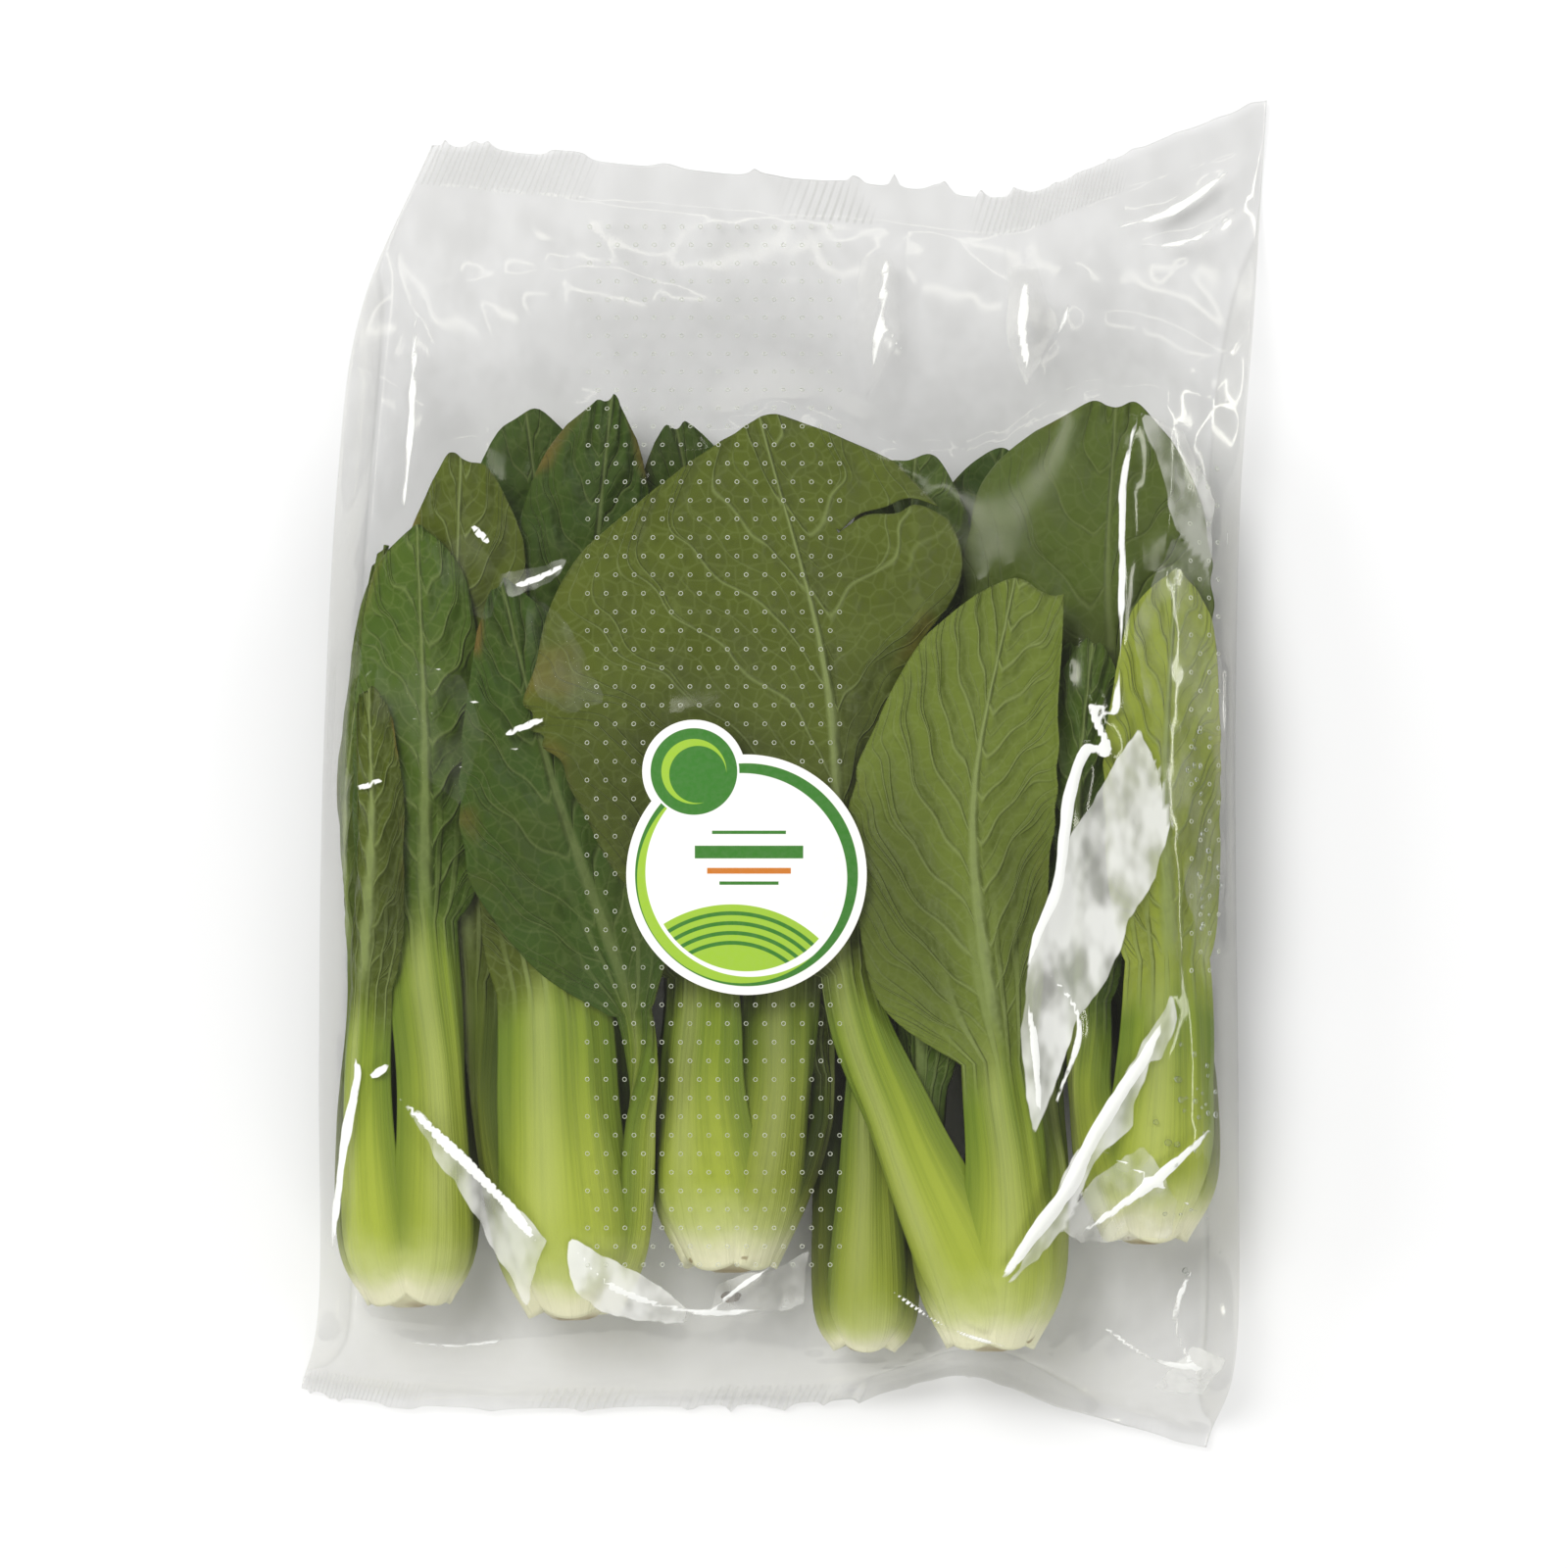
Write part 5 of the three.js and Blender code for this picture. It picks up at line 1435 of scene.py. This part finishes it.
def make_label(material):
    """The paper round with its small round tab, cut from one outline, flat on the film."""
    tab = np.array(tab_centre())
    centre = np.array([LABEL["x"], LABEL["y"]])
    big, small, reach = LABEL["radius"], LABEL_TAB["radius"], LABEL_TAB["reach"]
    way = math.radians(LABEL_TAB["angle"])
    on_big = math.acos((big**2 + reach**2 - small**2) / (2 * big * reach))
    on_small = math.acos((small**2 + reach**2 - big**2) / (2 * small * reach))
    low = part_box("label")[0].z
    bm = bmesh.new()
    outline = []
    for middle, radius, start, end in (
        (centre, big, way + on_big, way - on_big + 2 * math.pi),
        (tab, small, way + math.pi + on_small, way + 3 * math.pi - on_small),
    ):
        steps = int(ARC_STEPS * radius / big)
        for angle in np.linspace(start, end, steps, endpoint=False):
            x, y = middle + radius * np.array([math.cos(angle), math.sin(angle)])
            outline.append(bm.verts.new((x * MM, y * MM, low)))
    verts = doubled(bm, [bm.faces.new(outline)], (0, 0, LABEL_THICKNESS * MM))
    rim = [edge for edge in bm.edges if all(vert in verts for vert in edge.verts)]
    bmesh.ops.bevel(bm, geom=rim, offset=LABEL_BEVEL * MM, segments=2, profile=0.5, affect="EDGES",
                    material=-1)
    bmesh.ops.recalc_face_normals(bm, faces=bm.faces)
    piece = new_piece("paper_label", bm, material, "paper", "label")
    piece.data.set_sharp_from_angle(angle=math.radians(40))


def label_material(looks):
    """Paper with two rings, a field of stripes, plain bars and a plain tab, in millimetres."""
    material, tree, shader = new_material("printed_paper")
    place = tree.place()
    scale = 1 / MM
    x, y = tree.parts(tree.stretch(place, (scale, scale, scale), (-LABEL["x"], -LABEL["y"], 0)))

    def below(value, limit):
        return tree.span(value, limit + INK_SOFTNESS, limit - INK_SOFTNESS)

    def disc(cx, cy, radius):
        dx, dy = (tree.math("SUBTRACT", value, middle) for value, middle in ((x, cx), (y, cy)))
        return below(tree.math("SQRT", tree.plus(tree.times(dx, dx), tree.times(dy, dy))), radius)

    def ring(outer, inner):
        return tree.math("SUBTRACT", disc(*outer), disc(*inner), clamp=True)

    def bar(cx, cy, wide, tall):
        sides = ((x, cx, wide), (y, cy, tall))
        return tree.times(*[below(tree.size(tree.math("SUBTRACT", v, c)), w / 2) for v, c, w in sides])

    tab_x, tab_y = (c - d for c, d in zip(tab_centre(), (LABEL["x"], LABEL["y"])))
    layers = [
        (ring((0, 0, 22.6), (0.7, 0.5, 21.2)), looks.light),
        (ring((0, 0, 22.6), (-0.9, -0.7, 21.3)), looks.dark),
        (tree.times(disc(-3, -32, 26.0), disc(0, 0, 19.6)), looks.light),
    ]
    for radius in (24.6, 22.6, 20.6, 18.6):
        furrow = ring((-3, -32, radius), (-3, -32, radius - 0.8))
        layers.append((tree.times(furrow, disc(0, 0, 19.6)), looks.dark))
    layers += [
        (bar(0.5, 8.6, 15, 0.7), looks.dark), (bar(0.5, 4.6, 22, 2.6), looks.dark),
        (bar(0.5, 0.8, 17, 1.2), looks.accent), (bar(0.5, -1.7, 12, 0.7), looks.dark),
        (disc(tab_x, tab_y, 9.2), looks.paper), (disc(tab_x, tab_y, 8.8), looks.dark),
        (ring((tab_x, tab_y, 6.6), (tab_x + 0.8, tab_y - 0.6, 5.8)), looks.light),
    ]
    grain = tree.group(mottle_group(), Vector=place, Scale=900.0)
    layers.append((tree.times(grain, 0.04), paint("#b8b6ac")))
    tree.fill(shader, {
        "Base Color": reduce(lambda below, layer: tree.blend(layer[0], below, layer[1]), layers, looks.paper),
        "Roughness": tree.plus(tree.times(grain, 0.08), 0.34),
        "Normal": tree.bump(grain, 0.1, 0.0001),
    })
    return material


# Damp: groups of drops inside the film, as x, y and spread in millimetres with a count
DROPS = [(84, -66, 2.5, 16), (86, -20, 2, 14), (85, 4, 2, 10), (82, -80, 4, 14)]


def make_drops(material):
    draw = np.random.RandomState(7)
    probe = film_probe()
    bm = bmesh.new()
    for cx, cy, spread, count in DROPS:
        for _ in range(count):
            x, y = cx + draw.normal(0, spread), cy + draw.normal(0, 3 * spread)
            size = draw.uniform(0.25, 0.7) * MM
            at, normal = rest_on(probe, x, y)
            if at is None or normal.z < 0.4:
                continue
            flat = Matrix.Diagonal((1, draw.uniform(0.8, 1.2), 0.45, 1))
            place = Matrix.Translation(at - normal * 0.3 * size) @ facing(normal) @ flat
            bmesh.ops.create_icosphere(bm, subdivisions=2, radius=size, matrix=place)
    new_piece("water_drops", bm, material, "film")


def drop_material():
    material, tree, shader = new_material("water")
    shine = tree.node("Fresnel", {"IOR": 1.33}).outputs[0]
    patches = tree.group(mottle_group(), Vector=tree.place(), Scale=700.0)
    shown = tree.math("ADD", tree.times(shine, 2.0), tree.times(patches, 0.08), clamp=True)
    tree.fill(shader, {"Base Color": paint("#eef4ee"), "Metallic": 1, "Roughness": 0.03, "Alpha": shown})
    return material


CRUMB = {"at": (-11, -107.5, 1.6), "size": (1.7, 1.02, 0.765)}


def make_crumb(material):
    """A crumb of soil on the lower film: a round with seeded lumps."""
    bm = bmesh.new()
    bmesh.ops.create_icosphere(bm, subdivisions=4, radius=1)
    draw = np.random.RandomState(3)
    lumps = [(Vector(draw.normal(0, 1, 3)).normalized(), draw.uniform(0.1, 0.35)) for _ in range(14)]
    for vert in bm.verts:
        way = vert.co.normalized()
        swell = 1 + sum(depth * max(0, way.dot(at)) ** 8 for at, depth in lumps)
        vert.co = way * swell
    shape = Matrix.LocRotScale(Vector(CRUMB["at"]) * MM, None, Vector(CRUMB["size"]) * MM)
    bmesh.ops.transform(bm, matrix=shape, verts=bm.verts)
    new_piece("soil_crumb", bm, material, "greens")


def soil_material():
    material, tree, shader = new_material("soil")
    patches = tree.group(mottle_group(), Vector=tree.place(), Scale=1400.0)
    tree.fill(shader, {
        "Base Color": tree.blend(patches, paint("#3a2c1e"), paint("#6b543a")),
        "Roughness": 0.9,
        "Normal": tree.bump(patches, 0.6, 0.0003),
    })
    return material


# Floor, light and camera
FLOOR_SIZE = 6.0
FLOOR_DROP = 0.0002  # below the bag's back
VIEW_CENTRE = (0, -0.002)
FOCUS_HEIGHT = 0.03
SENSOR = 36
LIGHT_AIM = (0, 0, 0.02)
SIDE_LIGHTS = [
    {"at": (-0.8, 0.8, 2.2), "size": (1.1, 1.1), "share": 5.4, "glints": False},
    {"at": (0.3, -1.4, 1.3), "size": (1.4, 0.7), "share": 1.8, "glints": False},
    {"at": (-1.3, 0.3, 0.8), "size": (0.6, 0.6), "share": 0.9, "glints": False},
    {"at": (1.1, 0.3, 0.9), "size": (1.3, 0.12), "share": 0.55, "glints": True},
    {"at": (0.1, 1.2, 1.0), "size": (1.0, 0.1), "share": 0.12, "glints": True},
]


def make_stage(looks):
    bm = bmesh.new()
    level = Matrix.Translation((0, 0, -FLOOR_DROP))
    bmesh.ops.create_grid(bm, x_segments=1, y_segments=1, size=FLOOR_SIZE / 2, matrix=level)
    floor = linked("floor", new_mesh("floor", bm))
    material, tree, shader = new_material("floor_paint")
    tree.fill(shader, {"Base Color": looks.floor, "Roughness": 0.7})
    floor.data.materials.append(material)

    for k, light in enumerate(SIDE_LIGHTS):
        lamp = bpy.data.lights.new(f"side_light_{k}", "AREA")
        lamp.shape = "RECTANGLE"
        lamp.size, lamp.size_y = light["size"]
        lamp.energy = looks.key * light["share"]
        made = linked(lamp.name, lamp)
        made.location = light["at"]
        made.visible_glossy = light["glints"]
        made.rotation_euler = (Vector(LIGHT_AIM) - made.location).to_track_quat("-Z", "Y").to_euler()

    scene = bpy.context.scene
    scene.world = bpy.data.worlds.new("studio")
    scene.world.use_nodes = True
    background = scene.world.node_tree.nodes["Background"]
    background.inputs["Color"].default_value = (1, 1, 1, 1)
    background.inputs["Strength"].default_value = looks.sky
    scene.view_settings.view_transform = "Standard"

    lens = bpy.data.cameras.new("photo_camera")
    lens.sensor_width = SENSOR
    lens.lens = SENSOR * (looks.camera_height - FOCUS_HEIGHT) / looks.view_width
    lens.clip_end = 20
    scene.camera = linked("photo_camera", lens)
    scene.camera.location = (*VIEW_CENTRE, looks.camera_height)


class MakeHeads(bpy.types.Operator):
    """Makes the six heads with their leaves"""
    bl_idname = "bok_choy.heads"
    bl_label = "Bok choy heads"

    def execute(self, context):
        looks = context.scene.leaf_looks
        material = greens_material(looks)
        for h in range(len(HEADS)):
            make_head(h, looks, material)
        return {"FINISHED"}


class MakeFilm(bpy.types.Operator):
    """Draws the clear film over the heads and seals it"""
    bl_idname = "bok_choy.film"
    bl_label = "Clear film bag"

    def execute(self, context):
        make_film(film_material(context.scene.film_looks))
        return {"FINISHED"}


class MakeVents(bpy.types.Operator):
    """Sets the melted rims of the vents into the film"""
    bl_idname = "bok_choy.vents"
    bl_label = "Vent rims"

    def execute(self, context):
        make_vents(context.scene.film_looks, rim_material())
        return {"FINISHED"}


class MakeLabel(bpy.types.Operator):
    """Cuts and prints the round paper label"""
    bl_idname = "bok_choy.label"
    bl_label = "Paper label"

    def execute(self, context):
        make_label(label_material(context.scene.label_looks))
        return {"FINISHED"}


class MakeDamp(bpy.types.Operator):
    """Adds the water drops and the crumb of soil inside the bag"""
    bl_idname = "bok_choy.damp"
    bl_label = "Water drops and soil"

    def execute(self, context):
        make_drops(drop_material())
        make_crumb(soil_material())
        return {"FINISHED"}


class MakeStage(bpy.types.Operator):
    """Sets up the floor, the lights and the camera"""
    bl_idname = "bok_choy.stage"
    bl_label = "Floor, light and camera"

    def execute(self, context):
        make_stage(context.scene.stage_looks)
        return {"FINISHED"}


# In the order in which they run: the vents and the drops lie on the film, and the film on the leaves
OPERATORS = [MakeStage, MakeHeads, MakeFilm, MakeVents, MakeLabel, MakeDamp]


class BokChoyPanel(bpy.types.Panel):
    """Lists the pieces of the bagged bok choy"""
    bl_idname = "VIEW3D_PT_bok_choy"
    bl_label = "Bagged bok choy"
    bl_space_type = "VIEW_3D"
    bl_region_type = "UI"
    bl_category = "Bok choy"

    def draw(self, context):
        for operator in OPERATORS:
            self.layout.operator(operator.bl_idname)


CLASSES = [*LOOKS.values(), *OPERATORS, BokChoyPanel]


def register():
    for made in CLASSES:
        bpy.utils.register_class(made)
    for name, looks in LOOKS.items():
        setattr(bpy.types.Scene, name, PointerProperty(type=looks))


def unregister():
    for name in LOOKS:
        delattr(bpy.types.Scene, name)
    for made in reversed(CLASSES):
        bpy.utils.unregister_class(made)


def main():
    register()
    bpy.ops.bok_choy.stage()
    bpy.ops.bok_choy.heads()
    bpy.ops.bok_choy.film()
    bpy.ops.bok_choy.vents()
    bpy.ops.bok_choy.label()
    bpy.ops.bok_choy.damp()


if __name__ == "__main__":
    main()
